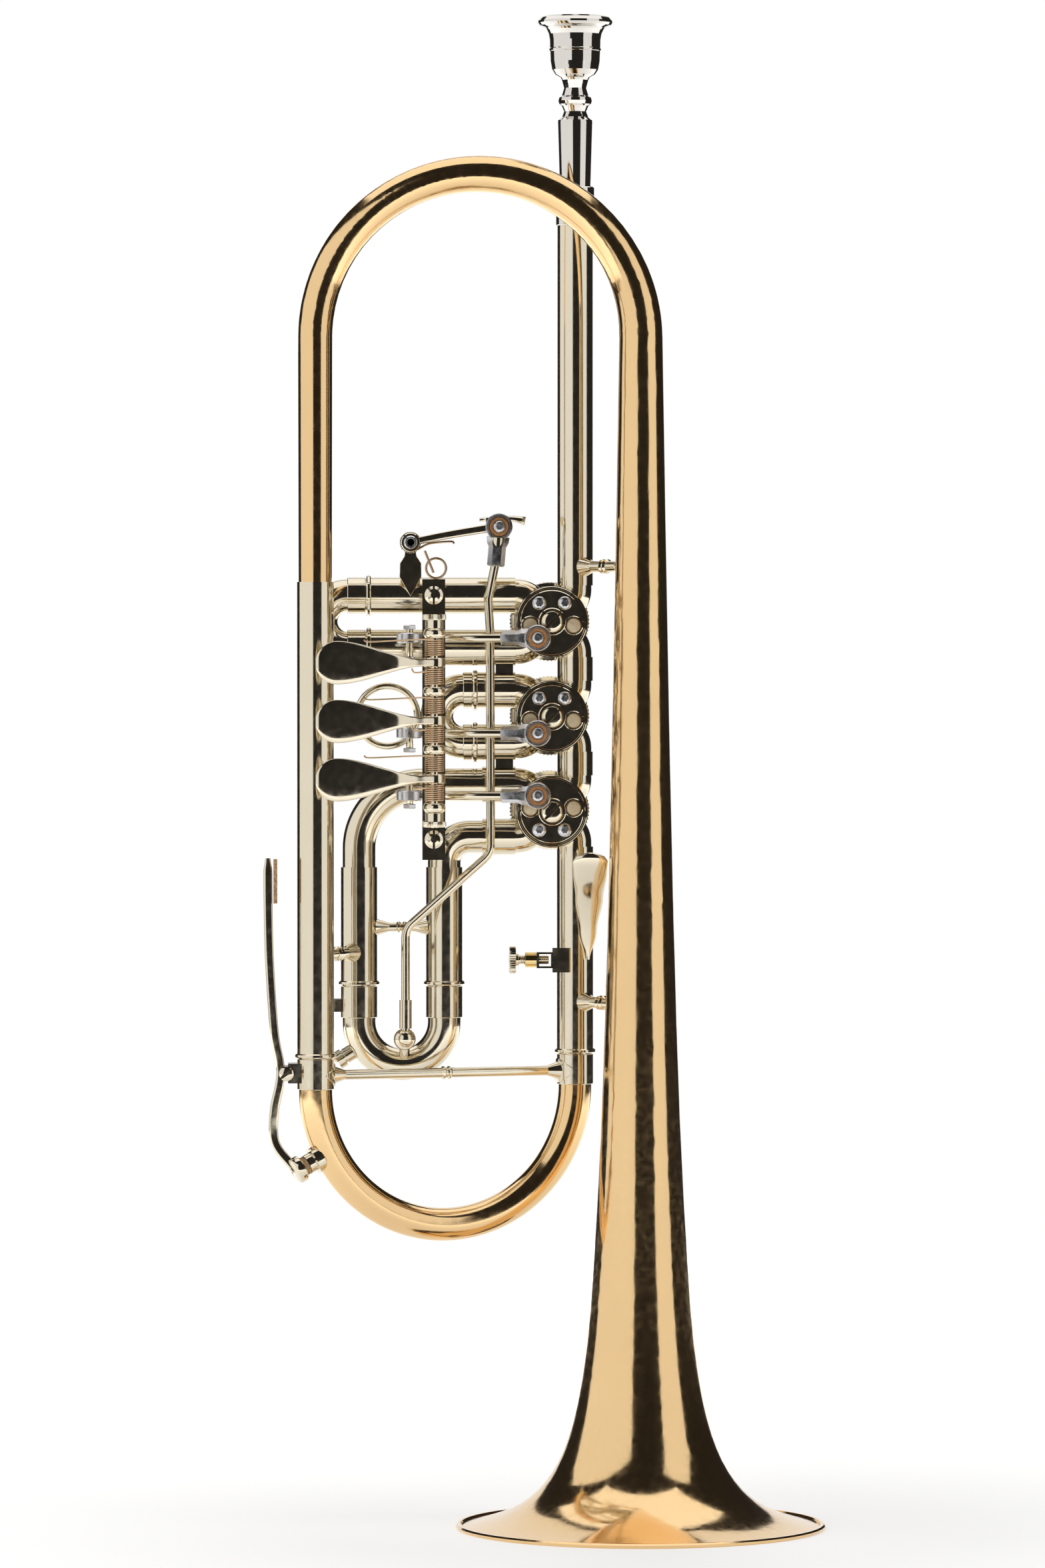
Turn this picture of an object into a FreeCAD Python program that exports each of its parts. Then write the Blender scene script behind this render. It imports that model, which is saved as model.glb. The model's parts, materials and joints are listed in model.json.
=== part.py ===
"""Rotary valve trumpet, modelled piece by piece.

Frame: the origin is the centre of the bell mouth on the rim plane, +Z runs up the bell axis,
the player's lever side faces -Y and the valve tubing lies behind the bell plane at +Y.
All sizes are millimetres.
"""
import FreeCAD
import Part
import Sketcher
import math
import os

V = FreeCAD.Vector
Placement = FreeCAD.Placement
Rotation = FreeCAD.Rotation
UP = V(0, 0, 1)
LEFT = V(-1, 0, 0)
RIGHT = V(1, 0, 0)
DOWN = V(0, 0, -1)
BACK = V(0, 1, 0)
FRONT = V(0, -1, 0)

# ---------------------------------------------------------------- driving dimensions
SIZES = {
    # tubing
    "tube_bore": 5.5, "slide_radius": 5.95, "sleeve_bore": 6.0, "sleeve_radius": 6.6,
    "bead_radius": 7.4, "bead_length": 1.6, "windway_radius": 6.45, "slide_gap": 0.3,
    # the lines that the tubing follows
    "bell_side_line": -116.8, "valve_side_line": -22.5, "valve_plane": 32.0,
    "rotor_line": -31.4, "first_valve_level": 325.8, "valve_pitch": 34.3,
    "windway_offset": 8.9, "leg_offset": 9.45, "knuckle_bend": 6.5,
    # bell
    "rim_radius": 66.5, "rim_bead": 1.7, "bell_wall": 0.5, "flare_scale": 280.9,
    "flare_shift": 7.6, "flare_power": 0.7667, "flare_base": 9.87, "flare_taper": 0.0111,
    "stem_top": 427.8, "bow_middle_radius": 6.5, "bow_end_radius": 6.15, "stub_radius": 5.97,
    # main tuning slide and its outer tubes
    "main_tube_top": 340.0, "main_tube_bottom": 169.3, "main_ferrule": 11.0,
    "main_leg_length": 44.0, "main_bow_radius": 49.791,
    # leadpipe, receiver and mouthpiece
    "leadpipe_top": 469.2, "leadpipe_bottom": 338.9, "receiver_radius": 6.95,
    "receiver_length": 14.0, "mouthpiece_top": 545.1, "shank_tip_radius": 4.75, "shank_bore": 1.85,
    # rotary valves
    "casing_radius": 13.0, "casing_front": 15.0, "casing_back": 16.0, "rotor_radius": 10.4,
    "rotor_fit": 0.05, "rotor_half": 11.0, "passage_radius": 4.0, "spindle_radius": 2.5,
    "cap_radius": 14.5, "stop_plate_radius": 11.4, "bumper_reach": 7.9, "bumper_radius": 2.5,
    "arm_reach": 8.0, "arm_lug": 1.9, "pin_radius": 1.3, "joint_radius": 4.75,
    # levers
    "axle_line": -74.2, "axle_depth": -8.0, "axle_radius": 1.5, "hub_radius": 3.9,
    "hub_height": 3.3, "paddle_length": 47.4, "paddle_tilt": 26.0,
    "paddle_width": 15.4, "paddle_thickness": 1.6,
    "rail_width": 8.2, "rail_thickness": 2.0, "spring_wire": 0.35,
    # valve slides
    "first_sleeve_end": -98.2, "second_sleeve_end": -59.6, "third_outer_line": -100.9,
    "third_inner_line": -70.0, "third_upper_bend": 23.0, "third_lower_bend": 9.0,
    "third_sleeve_top": 236.8, "third_sleeve_bottom": 194.0, "knuckle_end": 12.8,
    # third slide trigger
    "trigger_line": -82.3, "trigger_level": 354.4, "rod_depth": 20.0, "trigger_arm": 32.4,
    "trigger_rest": 10.0,
    # main water key
    "key_line": -127.3, "key_level": 163.9, "key_angle": 27.0,
}

doc = FreeCAD.newDocument("rotary_trumpet")
sheet = doc.addObject("Spreadsheet::Sheet", "Sizes")
for row, (alias, amount) in enumerate(SIZES.items(), start=1):
    sheet.set(f"A{row}", alias)
    sheet.set(f"B{row}", str(amount))
    sheet.setAlias(f"B{row}", alias)
doc.recompute()


class Size:
    """A length with its present value and the sheet expression that drives it."""

    def __init__(self, value, text):
        self.value = value
        self.text = text

    def __add__(self, other):
        other = as_size(other)
        return Size(self.value + other.value, f"({self.text} + {other.text})")

    def __sub__(self, other):
        other = as_size(other)
        return Size(self.value - other.value, f"({self.text} - {other.text})")

    def __mul__(self, factor):
        return Size(self.value * factor, f"({self.text} * {factor!r})")

    def __neg__(self):
        return self * -1.0

    __radd__ = __add__
    __rmul__ = __mul__

    def __rsub__(self, other):
        return as_size(other) - self


def as_size(amount):
    if isinstance(amount, Size):
        return amount
    return Size(float(amount), repr(float(amount)))


def size(alias):
    return Size(float(sheet.get(alias)), f"Sizes.{alias}")


def mm(alias):
    return float(sheet.get(alias))


# ---------------------------------------------------------------- building blocks
SUBPARTS = {}


def keep(label, obj, placement=None):
    """Name a finished sub-part, put it in its place and list it for export."""
    obj.Label = label
    if placement is not None:
        obj.Placement = placement
    SUBPARTS[label] = obj
    return obj


def aim(point, forward, side=None):
    """The placement whose own +Z points forward and whose own +X points to the side."""
    forward = V(forward).normalize()
    if side is None:
        side = RIGHT if abs(forward.x) < 0.9 else BACK
    across = forward.cross(V(side)).normalize()
    return Placement(V(point), Rotation(across.cross(forward), across, forward, "ZXY"))


def drive(obj, prop, amount):
    obj.setExpression(prop, as_size(amount).text)


def cylinder(radius, length, point=V(), forward=UP):
    obj = doc.addObject("Part::Cylinder", "Cylinder")
    drive(obj, "Radius", radius)
    drive(obj, "Height", length)
    obj.Placement = aim(point, forward)
    return obj


def ball(radius, point=V()):
    obj = doc.addObject("Part::Sphere", "Ball")
    drive(obj, "Radius", radius)
    obj.Placement = Placement(V(point), Rotation())
    return obj


def torus(ring_radius, wire_radius, point=V(), forward=UP):
    obj = doc.addObject("Part::Torus", "Torus")
    drive(obj, "Radius1", ring_radius)
    drive(obj, "Radius2", wire_radius)
    obj.Placement = aim(point, forward)
    return obj


def box(length, width, height, centre=V(), placement=None):
    """A box about its own centre."""
    obj = doc.addObject("Part::Box", "Box")
    drive(obj, "Length", length)
    drive(obj, "Width", width)
    drive(obj, "Height", height)
    sizes = [as_size(length).value, as_size(width).value, as_size(height).value]
    half = V(sizes[0] / 2, sizes[1] / 2, sizes[2] / 2)
    outer = placement if placement is not None else Placement()
    obj.Placement = outer.multiply(Placement(V(centre) - half, Rotation()))
    return obj


def fuse(*shapes):
    obj = doc.addObject("Part::MultiFuse", "Fuse")
    obj.Shapes = list(shapes)
    return obj


def cut(base, *tools):
    obj = doc.addObject("Part::Cut", "Cut")
    obj.Base = base
    obj.Tool = tools[0] if len(tools) == 1 else fuse(*tools)
    return obj


def group(*shapes):
    """Separate solids that share one name."""
    obj = doc.addObject("Part::Compound", "Group")
    obj.Links = list(shapes)
    return obj


def origin_plane(body, role):
    return next(item for item in body.Origin.OriginFeatures if item.Role == role)


def new_sketch(body, role):
    sketch = body.newObject("Sketcher::SketchObject", "Sketch")
    sketch.AttachmentSupport = [(origin_plane(body, role), "")]
    sketch.MapMode = "FlatFace"
    return sketch


def constrain(sketch, kind, *target, amount):
    """Add a driven dimension and tie it to the sheet."""
    amount = as_size(amount)
    index = sketch.addConstraint(Sketcher.Constraint(kind, *target, amount.value))
    sketch.setExpression(f"Constraints[{index}]", amount.text)


def turned(outline, placement=None):
    """A body of revolution about its own Z axis from (radius, height) corners."""
    body = doc.addObject("PartDesign::Body", "Turned")
    sketch = new_sketch(body, "XZ_Plane")
    corners = [(as_size(radius), as_size(height)) for radius, height in outline]
    count = len(corners)
    for index, (radius, height) in enumerate(corners):
        after = corners[(index + 1) % count]
        start = V(radius.value, height.value, 0)
        sketch.addGeometry(Part.LineSegment(start, V(after[0].value, after[1].value, 0)), False)
    for index, (radius, height) in enumerate(corners):
        sketch.addConstraint(Sketcher.Constraint("Coincident", index, 1, (index - 1) % count, 2))
        constrain(sketch, "DistanceX", -1, 1, index, 1, amount=radius)
        constrain(sketch, "DistanceY", -1, 1, index, 1, amount=height)
    spin = body.newObject("PartDesign::Revolution", "Revolution")
    spin.Profile = sketch
    spin.ReferenceAxis = (sketch, ["V_Axis"])
    spin.Angle = 360
    if placement is not None:
        body.Placement = placement
    return body


def pipe(moves, radii, placement=None):
    """A bar or tube that starts at its own origin along +Z and follows runs and turns.

    A move is ("run", length) or ("turn", radius, degrees); positive turns bend towards +X.
    """
    body = doc.addObject("PartDesign::Body", "Pipe")
    path = new_sketch(body, "XZ_Plane")
    point = V(0, 0, 0)
    heading = V(0, 1, 0)
    before = None
    for move in moves:
        if move[0] == "run":
            length = as_size(move[1])
            finish = point + heading * length.value
            edge = path.addGeometry(Part.LineSegment(point, finish), False)
            first, last = 1, 2
            constrain(path, "Distance", edge, amount=length)
        else:
            radius, degrees = as_size(move[1]), move[2]
            side = V(heading.y, -heading.x, 0) * math.copysign(1.0, degrees)
            centre = point + side * radius.value
            begin = math.atan2(point.y - centre.y, point.x - centre.x)
            sweep = -math.radians(degrees)
            low, high = min(begin, begin + sweep), max(begin, begin + sweep)
            circle = Part.Circle(centre, UP, radius.value)
            edge = path.addGeometry(Part.ArcOfCircle(circle, low, high), False)
            first, last = (2, 1) if degrees > 0 else (1, 2)
            finish = centre + V(math.cos(begin + sweep), math.sin(begin + sweep), 0) * radius.value
            turned_to = math.atan2(heading.y, heading.x) + sweep
            heading = V(math.cos(turned_to), math.sin(turned_to), 0)
            constrain(path, "Radius", edge, amount=radius)
            path.addConstraint(Sketcher.Constraint("Angle", edge, abs(sweep)))
        if before is None:
            path.addConstraint(Sketcher.Constraint("Coincident", edge, first, -1, 1))
            if move[0] == "run":
                path.addConstraint(Sketcher.Constraint("Vertical", edge))
            else:
                path.addConstraint(Sketcher.Constraint("PointOnObject", edge, 3, -1))
        else:
            path.addConstraint(Sketcher.Constraint("Tangent", before[0], before[1], edge, first))
        before = (edge, last)
        point = finish
    section = new_sketch(body, "XY_Plane")
    for radius in radii:
        radius = as_size(radius)
        edge = section.addGeometry(Part.Circle(V(), UP, radius.value), False)
        section.addConstraint(Sketcher.Constraint("Coincident", edge, 3, -1, 1))
        constrain(section, "Radius", edge, amount=radius)
    sweep = body.newObject("PartDesign::AdditivePipe", "Sweep")
    sweep.Profile = section
    sweep.Spine = (path, [f"Edge{index + 1}" for index in range(len(moves))])
    if placement is not None:
        body.Placement = placement
    return body


def bent_rod(points, depth, radius, bend):
    """A round rod through points (x, z) in the plane y = depth, rounded at each corner."""
    spots = [V(x, depth, z) for x, z in points]
    legs = [spots[index + 1] - spots[index] for index in range(len(spots) - 1)]
    side = BACK.cross(V(legs[0]).normalize())
    moves = []
    trimmed = 0.0
    for index, leg in enumerate(legs):
        if index + 1 < len(legs):
            after = legs[index + 1]
            degrees = math.degrees(leg.getAngle(after))
            sense = math.copysign(1.0, BACK.dot(V(leg).cross(after)))
            ahead = bend * math.tan(math.radians(degrees) / 2)
            moves.append(("run", leg.Length - trimmed - ahead))
            moves.append(("turn", bend, sense * degrees))
            trimmed = ahead
        else:
            moves.append(("run", leg.Length - trimmed))
    return pipe(moves, [radius], aim(spots[0], legs[0], side))


def sleeve(length, placement=None):
    """An outer slide tube with a rounded bead round its open end, which is at its own origin."""
    bore, wall, bead = size("sleeve_bore"), size("sleeve_radius"), size("bead_radius")
    thick = size("bead_length")
    return turned([
        (bore, 0), (bead - 0.4, 0), (bead, 0.4), (bead, thick - 0.4), (bead - 0.4, thick),
        (wall, thick), (wall, length), (bore, length),
    ], placement)


def slide_leg(leg_length, ferrule_length, placement=None):
    """An inner slide leg with the ferrule that joins it to the bow; the joint is at z = 0.

    The ferrule runs down from z = 0 and the leg runs up from it into the outer tube.
    """
    bore, leg, ferrule = size("tube_bore"), size("slide_radius"), size("sleeve_radius")
    return turned([
        (bore, -ferrule_length), (ferrule - 0.2, -ferrule_length), (ferrule, 0.2 - ferrule_length),
        (ferrule, -0.2), (ferrule - 0.2, 0), (leg, 0), (leg, leg_length), (bore, leg_length),
    ], placement)


def soldered_rod(start, finish, radius, flange, *tubes):
    """A round stay between two points, with flanges at its ends, hollowed to fit the tubes."""
    way = V(finish) - V(start)
    length = way.Length
    bead = radius * 1.35
    swell = [(radius, -1.9), (bead, -1.3), (bead, -0.8), (radius, -0.3),
             (radius, 0.3), (bead, 0.8), (bead, 1.3), (radius, 1.9)]
    outline = [(0, 0), (flange, 0), (radius, 5.0)]
    outline += [(across, length / 2 + along) for across, along in swell]
    outline += [(radius, length - 5.0), (flange, length), (0, length)]
    return cut(turned(outline, aim(start, way)), *tubes)


def slotted_screw(head_radius, head_height, shank_radius, shank_length, placement):
    """A domed screw; its shank runs down its own -Z and its head stands on z = 0."""
    screw = turned([
        (0, -shank_length), (shank_radius, -shank_length), (shank_radius, 0), (head_radius, 0),
        (head_radius, head_height * 0.5), (head_radius * 0.7, head_height * 0.88),
        (head_radius * 0.35, head_height), (0, head_height),
    ])
    slot = box(head_radius * 2 + 1, 0.8, head_height, V(0, 0, head_height))
    result = cut(screw, slot)
    result.Placement = placement
    return result


# ---------------------------------------------------------------- places worked out once
BELL_SIDE = mm("bell_side_line")
VALVE_SIDE = mm("valve_side_line")
DEPTH = mm("valve_plane")
ROTOR_LINE = mm("rotor_line")
LEVELS = [mm("first_valve_level") - index * mm("valve_pitch") for index in range(3)]
UPPER_LEGS = [level + mm("leg_offset") for level in LEVELS]
LOWER_LEGS = [level - mm("leg_offset") for level in LEVELS]
KNUCKLE_CUT = mm("knuckle_bend") * math.tan(math.radians(22.5))
WINDWAY_END = mm("windway_offset") + KNUCKLE_CUT
VALVE_TURN = Rotation(RIGHT, 90)
HUB_LEVELS = [311.2, 290.4, 269.6]
POST_LEVELS = [321.5, 300.8, 280.0, 259.2]
CRANK_POINT = V(mm("axle_line") - 8.6, mm("axle_depth") + 24.0, 0)
REST_ANGLES = [-132.5, -132.5, 132.5]
JOINT_DEPTH = 8.2
WINDWAY = "windway_offset"
LEG = "leg_offset"
FERRULE_TOP = mm("main_tube_bottom") - mm("slide_gap")
MAIN_SHOULDER = FERRULE_TOP - mm("main_ferrule")


def flare_radius(height):
    """The bell's outer radius at a height above its rim."""
    distance = height + mm("flare_shift")
    curved = mm("flare_scale") * distance ** -mm("flare_power")
    return curved + mm("flare_base") - mm("flare_taper") * height


def flare_slope(height):
    distance = height + mm("flare_shift")
    power = mm("flare_power")
    return -power * mm("flare_scale") * distance ** (-power - 1) - mm("flare_taper")


def joint_point(index):
    """Centre of the ball joint on a stop arm, with the valve at rest."""
    angle = math.radians(REST_ANGLES[index])
    reach = mm("arm_reach")
    offset = V(reach * math.cos(angle), 0, reach * math.sin(angle))
    return V(ROTOR_LINE, JOINT_DEPTH, LEVELS[index]) + offset


# ---------------------------------------------------------------- bell
def make_bell():
    wall = mm("bell_wall")
    top = mm("stem_top")
    lowest = 0.75
    steps = 24
    outer_points = []
    inner_points = []
    for index in range(steps + 1):
        height = lowest * (top / lowest) ** (index / steps)
        radius = flare_radius(height)
        slope = flare_slope(height)
        stretch = math.hypot(1.0, slope)
        outer_points.append(V(radius, 0, height))
        inner_points.append(V(radius - wall / stretch, 0, height + wall * slope / stretch))
    inner_points[-1] = V(outer_points[-1].x - wall, 0, top)
    outer_curve = Part.BSplineCurve()
    outer_curve.interpolate(outer_points)
    inner_curve = Part.BSplineCurve()
    inner_curve.interpolate(list(reversed(inner_points)))
    edges = [
        outer_curve.toShape(),
        Part.makeLine(outer_points[-1], inner_points[-1]),
        inner_curve.toShape(),
        Part.makeLine(inner_points[0], outer_points[0]),
    ]
    flare = Part.Face(Part.Wire(edges)).revolve(V(), UP, 360)

    rim, bead = mm("rim_radius"), mm("rim_bead")
    ring_corners = [
        V(rim - bead, 0, 0), V(rim - 0.4, 0, 0), V(rim, 0, 0.4), V(rim, 0, bead - 0.6),
        V(rim - 0.6, 0, bead), V(rim - bead, 0, bead), V(rim - bead, 0, 0),
    ]
    ring = Part.Face(Part.makePolygon(ring_corners)).revolve(V(), UP, 360)

    half = BELL_SIDE / 2
    crown = V(half, 0, top - half)
    spine = Part.Wire(Part.Arc(V(0, 0, top), crown, V(BELL_SIDE, 0, top)).toShape())
    stations = [(V(0, 0, top), UP), (crown, LEFT), (V(BELL_SIDE, 0, top), DOWN)]
    radii = [outer_points[-1].x, mm("bow_middle_radius"), mm("bow_end_radius")]
    skins = []
    for inset in (0.0, wall):
        rings = []
        for (centre, normal), radius in zip(stations, radii):
            rings.append(Part.Wire(Part.makeCircle(radius - inset, centre, normal)))
        skins.append(spine.makePipeShell(rings, True, False))
    bow = skins[0].cut(skins[1])

    tail_length = top - mm("main_tube_top") + 8
    end_radius, stub = mm("bow_end_radius"), mm("stub_radius")
    tail = Part.makeCone(end_radius, stub, tail_length, V(BELL_SIDE, 0, top), DOWN)
    tail_bore = Part.makeCone(end_radius - wall, stub - wall, tail_length, V(BELL_SIDE, 0, top), DOWN)

    bell = doc.addObject("Part::Feature", "Bell")
    bell.Shape = flare.multiFuse([ring, bow, tail.cut(tail_bore)])
    keep("bell", bell, Placement())


# ---------------------------------------------------------------- mouthpiece side
def make_leadpipe():
    bottom, top = mm("leadpipe_bottom"), mm("leadpipe_top")
    outer = size("windway_radius")
    length = top - bottom
    keep("leadpipe", turned([
        (size("sleeve_bore"), 0), (outer, 0), (outer, length), (5.15, length), (4.8, length - 10.2),
        (4.4, length - 11), (size("tube_bore"), 8), (size("sleeve_bore"), 7),
    ], Placement(V(VALVE_SIDE, DEPTH, bottom), Rotation())))
    radius, height = size("receiver_radius"), size("receiver_length")
    keep("mouthpiece_receiver", turned([
        (5.15, 0.02), (radius - 0.3, 0.02), (radius, 0.3), (radius, height - 0.3),
        (radius - 0.3, height), (5.64, height),
    ], Placement(V(VALVE_SIDE, DEPTH, top), Rotation())))


def make_mouthpiece():
    """Heights run down from the top of the rim."""
    throat, tip = size("shank_bore"), size("shank_tip_radius")
    outside = [
        (10.0, 0), (11.2, -0.1), (12.6, -0.7), (13.5, -1.8), (13.6, -2.6), (13.0, -3.5),
        (10.8, -4.3), (10.35, -5.0), (9.6, -6.6), (9.23, -8.8), (9.2, -11.6), (9.43, -11.9),
        (9.43, -12.6), (9.1, -12.8), (8.95, -16.5), (8.4, -19.5), (7.2, -21.3), (5.3, -22.3),
        (4.83, -23.2), (4.04, -26.1), (4.9, -28.9), (5.8, -29.5), (6.14, -30.7), (5.8, -31.9),
        (4.9, -32.5), (4.04, -34.6), (4.83, -36.6), (6.2, -37.7), (6.28, -38.2), (5.63, -60.6),
    ]
    inside = [
        (4.2, -86), (throat, -24), (throat, -18), (3.4, -15), (6.0, -11), (7.6, -7), (8.3, -3),
        (8.6, -1.0), (9.2, -0.2),
    ]
    keep("mouthpiece", turned(outside + [(tip, -86)] + inside,
                              Placement(V(VALVE_SIDE, DEPTH, mm("mouthpiece_top")), Rotation())))


# ---------------------------------------------------------------- valves
def knuckle(sides, offset, stub, radius):
    """A port tube of a casing: out at 45 degrees, then bent to its line; sides are (x, y) signs."""
    upright = offset == WINDWAY
    reach = mm(offset) * math.sqrt(2)
    way = V(sides[0], sides[1], 0).normalize()
    onward = V(0, sides[1], 0) if upright else V(sides[0], 0, 0)
    start = 8.0
    moves = [("run", reach - KNUCKLE_CUT - start), ("turn", size("knuckle_bend"), 45.0), ("run", stub)]
    return pipe(moves, [radius], aim(way * start, way, onward))


def make_casing(index):
    front, back = size("casing_front"), size("casing_back")
    between = mm("valve_pitch") / 2 - WINDWAY_END - 0.05
    ports = [
        ((1, 1), WINDWAY, 6.0 if index == 0 else between),
        ((1, -1), WINDWAY, 6.0 if index == 2 else between),
        ((-1, 1), LEG, 5.0),
        ((-1, -1), LEG, 5.0),
    ]
    barrel = cylinder(size("casing_radius"), front + back, V(0, 0, -mm("casing_back")))
    bore = cylinder(size("rotor_radius") + size("rotor_fit"), back + 12.0, V(0, 0, -mm("casing_back")))
    spindle = cylinder(size("spindle_radius") + size("rotor_fit"), 10, V(0, 0, 8))
    walls = [knuckle(sides, offset, stub, size("stub_radius")) for sides, offset, stub in ports]
    bores = [knuckle(sides, offset, stub, size("tube_bore")) for sides, offset, stub in ports]
    casing = cut(fuse(barrel, *walls), bore, spindle, *bores)
    keep(f"valve_casing_{index + 1}", casing,
         Placement(V(ROTOR_LINE, DEPTH, LEVELS[index]), VALVE_TURN))


def make_rotor(index):
    radius, half = size("rotor_radius"), size("rotor_half")
    core = cylinder(radius, half + 11.9, V(0, 0, -mm("rotor_half")))
    reach = mm("rotor_radius") * math.sqrt(2)
    passages = [torus(radius, size("passage_radius"), V(side * reach, 0, 0)) for side in (-1, 1)]
    front_spindle = cylinder(size("spindle_radius"), 5.0, V(0, 0, 11.8))
    back_spindle = cylinder(size("spindle_radius") + 0.5, 3.0, V(0, 0, -13.9))
    thread = cylinder(1.2, 4.0, V(0, 0, 13.5))
    rotor = cut(fuse(cut(core, *passages), front_spindle, back_spindle), thread)
    keep(f"rotor_{index + 1}", rotor, Placement(V(ROTOR_LINE, DEPTH, LEVELS[index]), VALVE_TURN))


def make_valve_trim(index):
    """The stop plate, stop arm with its screw, and back cap of one valve."""
    place = Placement(V(ROTOR_LINE, DEPTH, LEVELS[index]), VALVE_TURN)
    side = math.copysign(1.0, REST_ANGLES[index])
    front = mm("casing_front")
    reach = mm("bumper_reach")
    bumper_angle = math.radians(10.0)
    seats = [V(sign * reach * math.cos(bumper_angle), side * reach * math.sin(bumper_angle), front)
             for sign in (-1, 1)]
    disc = cylinder(size("stop_plate_radius"), 2.0, V(0, 0, front + 0.02))
    away = box(30, 15, 6, V(0, side * 7.4, front + 1))
    lobes = [cylinder(size("bumper_radius") + 1.0, 2.0, seat + V(0, 0, 0.02)) for seat in seats]
    holes = [cylinder(size("bumper_radius") + 0.02, 4.0, seat - V(0, 0, 1)) for seat in seats]
    screws = [V(sign * 4.6, -side * 6.6, front) for sign in (-1, 1)]
    screw_holes = [cylinder(1.3, 4.0, spot - V(0, 0, 1)) for spot in screws]
    spindle = cylinder(size("spindle_radius") + 0.2, 4.0, V(0, 0, front - 1))
    plate = cut(fuse(cut(disc, away), *lobes), spindle, *holes, *screw_holes)
    plate.Placement = place

    arm_height = front + 2.1
    hub = cylinder(5.0, 1.9, V(0, 0, arm_height))
    rest = math.radians(REST_ANGLES[index])
    lug_angle = math.radians(side * 135.0)
    joint = V(mm("arm_reach") * math.cos(rest), mm("arm_reach") * math.sin(rest), arm_height)
    lug = V(reach * math.cos(lug_angle), reach * math.sin(lug_angle), arm_height)
    web = box(mm("arm_reach"), 3.2, 1.9, V(mm("arm_reach") / 2, 0, arm_height + 0.95),
              Placement(V(), Rotation(UP, side * 135.0)))
    boss = cylinder(size("pin_radius") + 0.35, 4.8, joint)
    pin_length = DEPTH - JOINT_DEPTH - arm_height + 1.7
    pin = cylinder(size("pin_radius"), pin_length, joint)
    pin_head = cylinder(2.0, 0.9, joint + UP * pin_length)
    bore = cylinder(1.25, 4.0, V(0, 0, arm_height - 1))
    arm = cut(fuse(hub, cylinder(size("arm_lug"), 1.9, lug), web, boss, pin, pin_head), bore)
    screw = slotted_screw(3.7, 0.9, 1.15, 5.0, Placement(V(0, 0, arm_height + 1.92), Rotation(UP, 45)))
    keep(f"stop_arm_{index + 1}", group(arm, screw), place)

    edge = size("cap_radius")
    cap = turned([
        (0, -18), (edge - 1.0, -18), (edge, -17), (edge, -9), (edge - 0.6, -8.4),
        (size("casing_radius") + 0.04, -8.4), (size("casing_radius") + 0.04, -16.4), (0, -16.4),
    ], place)
    return place, plate, cap, seats, screws


def make_valves():
    plates = []
    caps = []
    bumpers = []
    screws = []
    bearings = []
    for index in range(3):
        make_casing(index)
        make_rotor(index)
        place, plate, cap, seats, screw_spots = make_valve_trim(index)
        plates.append(plate)
        caps.append(cap)
        for seat in seats:
            bumper = cylinder(size("bumper_radius"), 3.9, place.multVec(seat + V(0, 0, 0.02)), FRONT)
            bumpers.append(bumper)
        for spot in screw_spots:
            head = place.multiply(Placement(spot + V(0, 0, 2.04), Rotation()))
            screws.append(slotted_screw(2.5, 0.8, 1.25, 1.95, head))
        disc = cylinder(size("rotor_radius"), 2.7, V(0, 0, -13.95))
        hole = cylinder(size("spindle_radius") + 0.55, 4.0, V(0, 0, -14.5))
        bearing = cut(disc, hole)
        bearing.Placement = place
        bearings.append(bearing)
    keep("stop_plates", group(*plates))
    keep("valve_caps", group(*caps))
    keep("stop_bumpers", group(*bumpers))
    keep("stop_plate_screws", group(*screws))
    keep("rear_bearings", group(*bearings))
    ferrules = []
    for index in range(2):
        middle = (LEVELS[index] + LEVELS[index + 1]) / 2
        height = 8.6
        ferrules.append(turned([
            (size("sleeve_bore"), 0), (size("windway_radius"), 0), (size("windway_radius"), height),
            (size("sleeve_bore"), height),
        ], Placement(V(VALVE_SIDE, DEPTH, middle - height / 2), Rotation())))
    keep("windway_ferrules", group(*ferrules))


# ---------------------------------------------------------------- main tubes and slide
def make_main_tubes():
    bottom = mm("main_tube_bottom")
    keep("bell_side_tube", sleeve(size("main_tube_top") - size("main_tube_bottom"),
                                  Placement(V(BELL_SIDE, 0, bottom), Rotation())))
    top = LEVELS[2] - WINDWAY_END - 1.4
    keep("valve_side_tube", sleeve(top - bottom, Placement(V(VALVE_SIDE, DEPTH, bottom), Rotation())))


def bow_station(angle):
    """Centre and outward direction of the main bow at an angle below its left shoulder."""
    span = V(VALVE_SIDE - BELL_SIDE, DEPTH, 0).normalize()
    radius = mm("main_bow_radius")
    shoulder = V(BELL_SIDE, 0, MAIN_SHOULDER)
    outward = span * -math.cos(math.radians(angle)) + DOWN * math.sin(math.radians(angle))
    return shoulder + span * radius + outward * radius, outward


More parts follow.
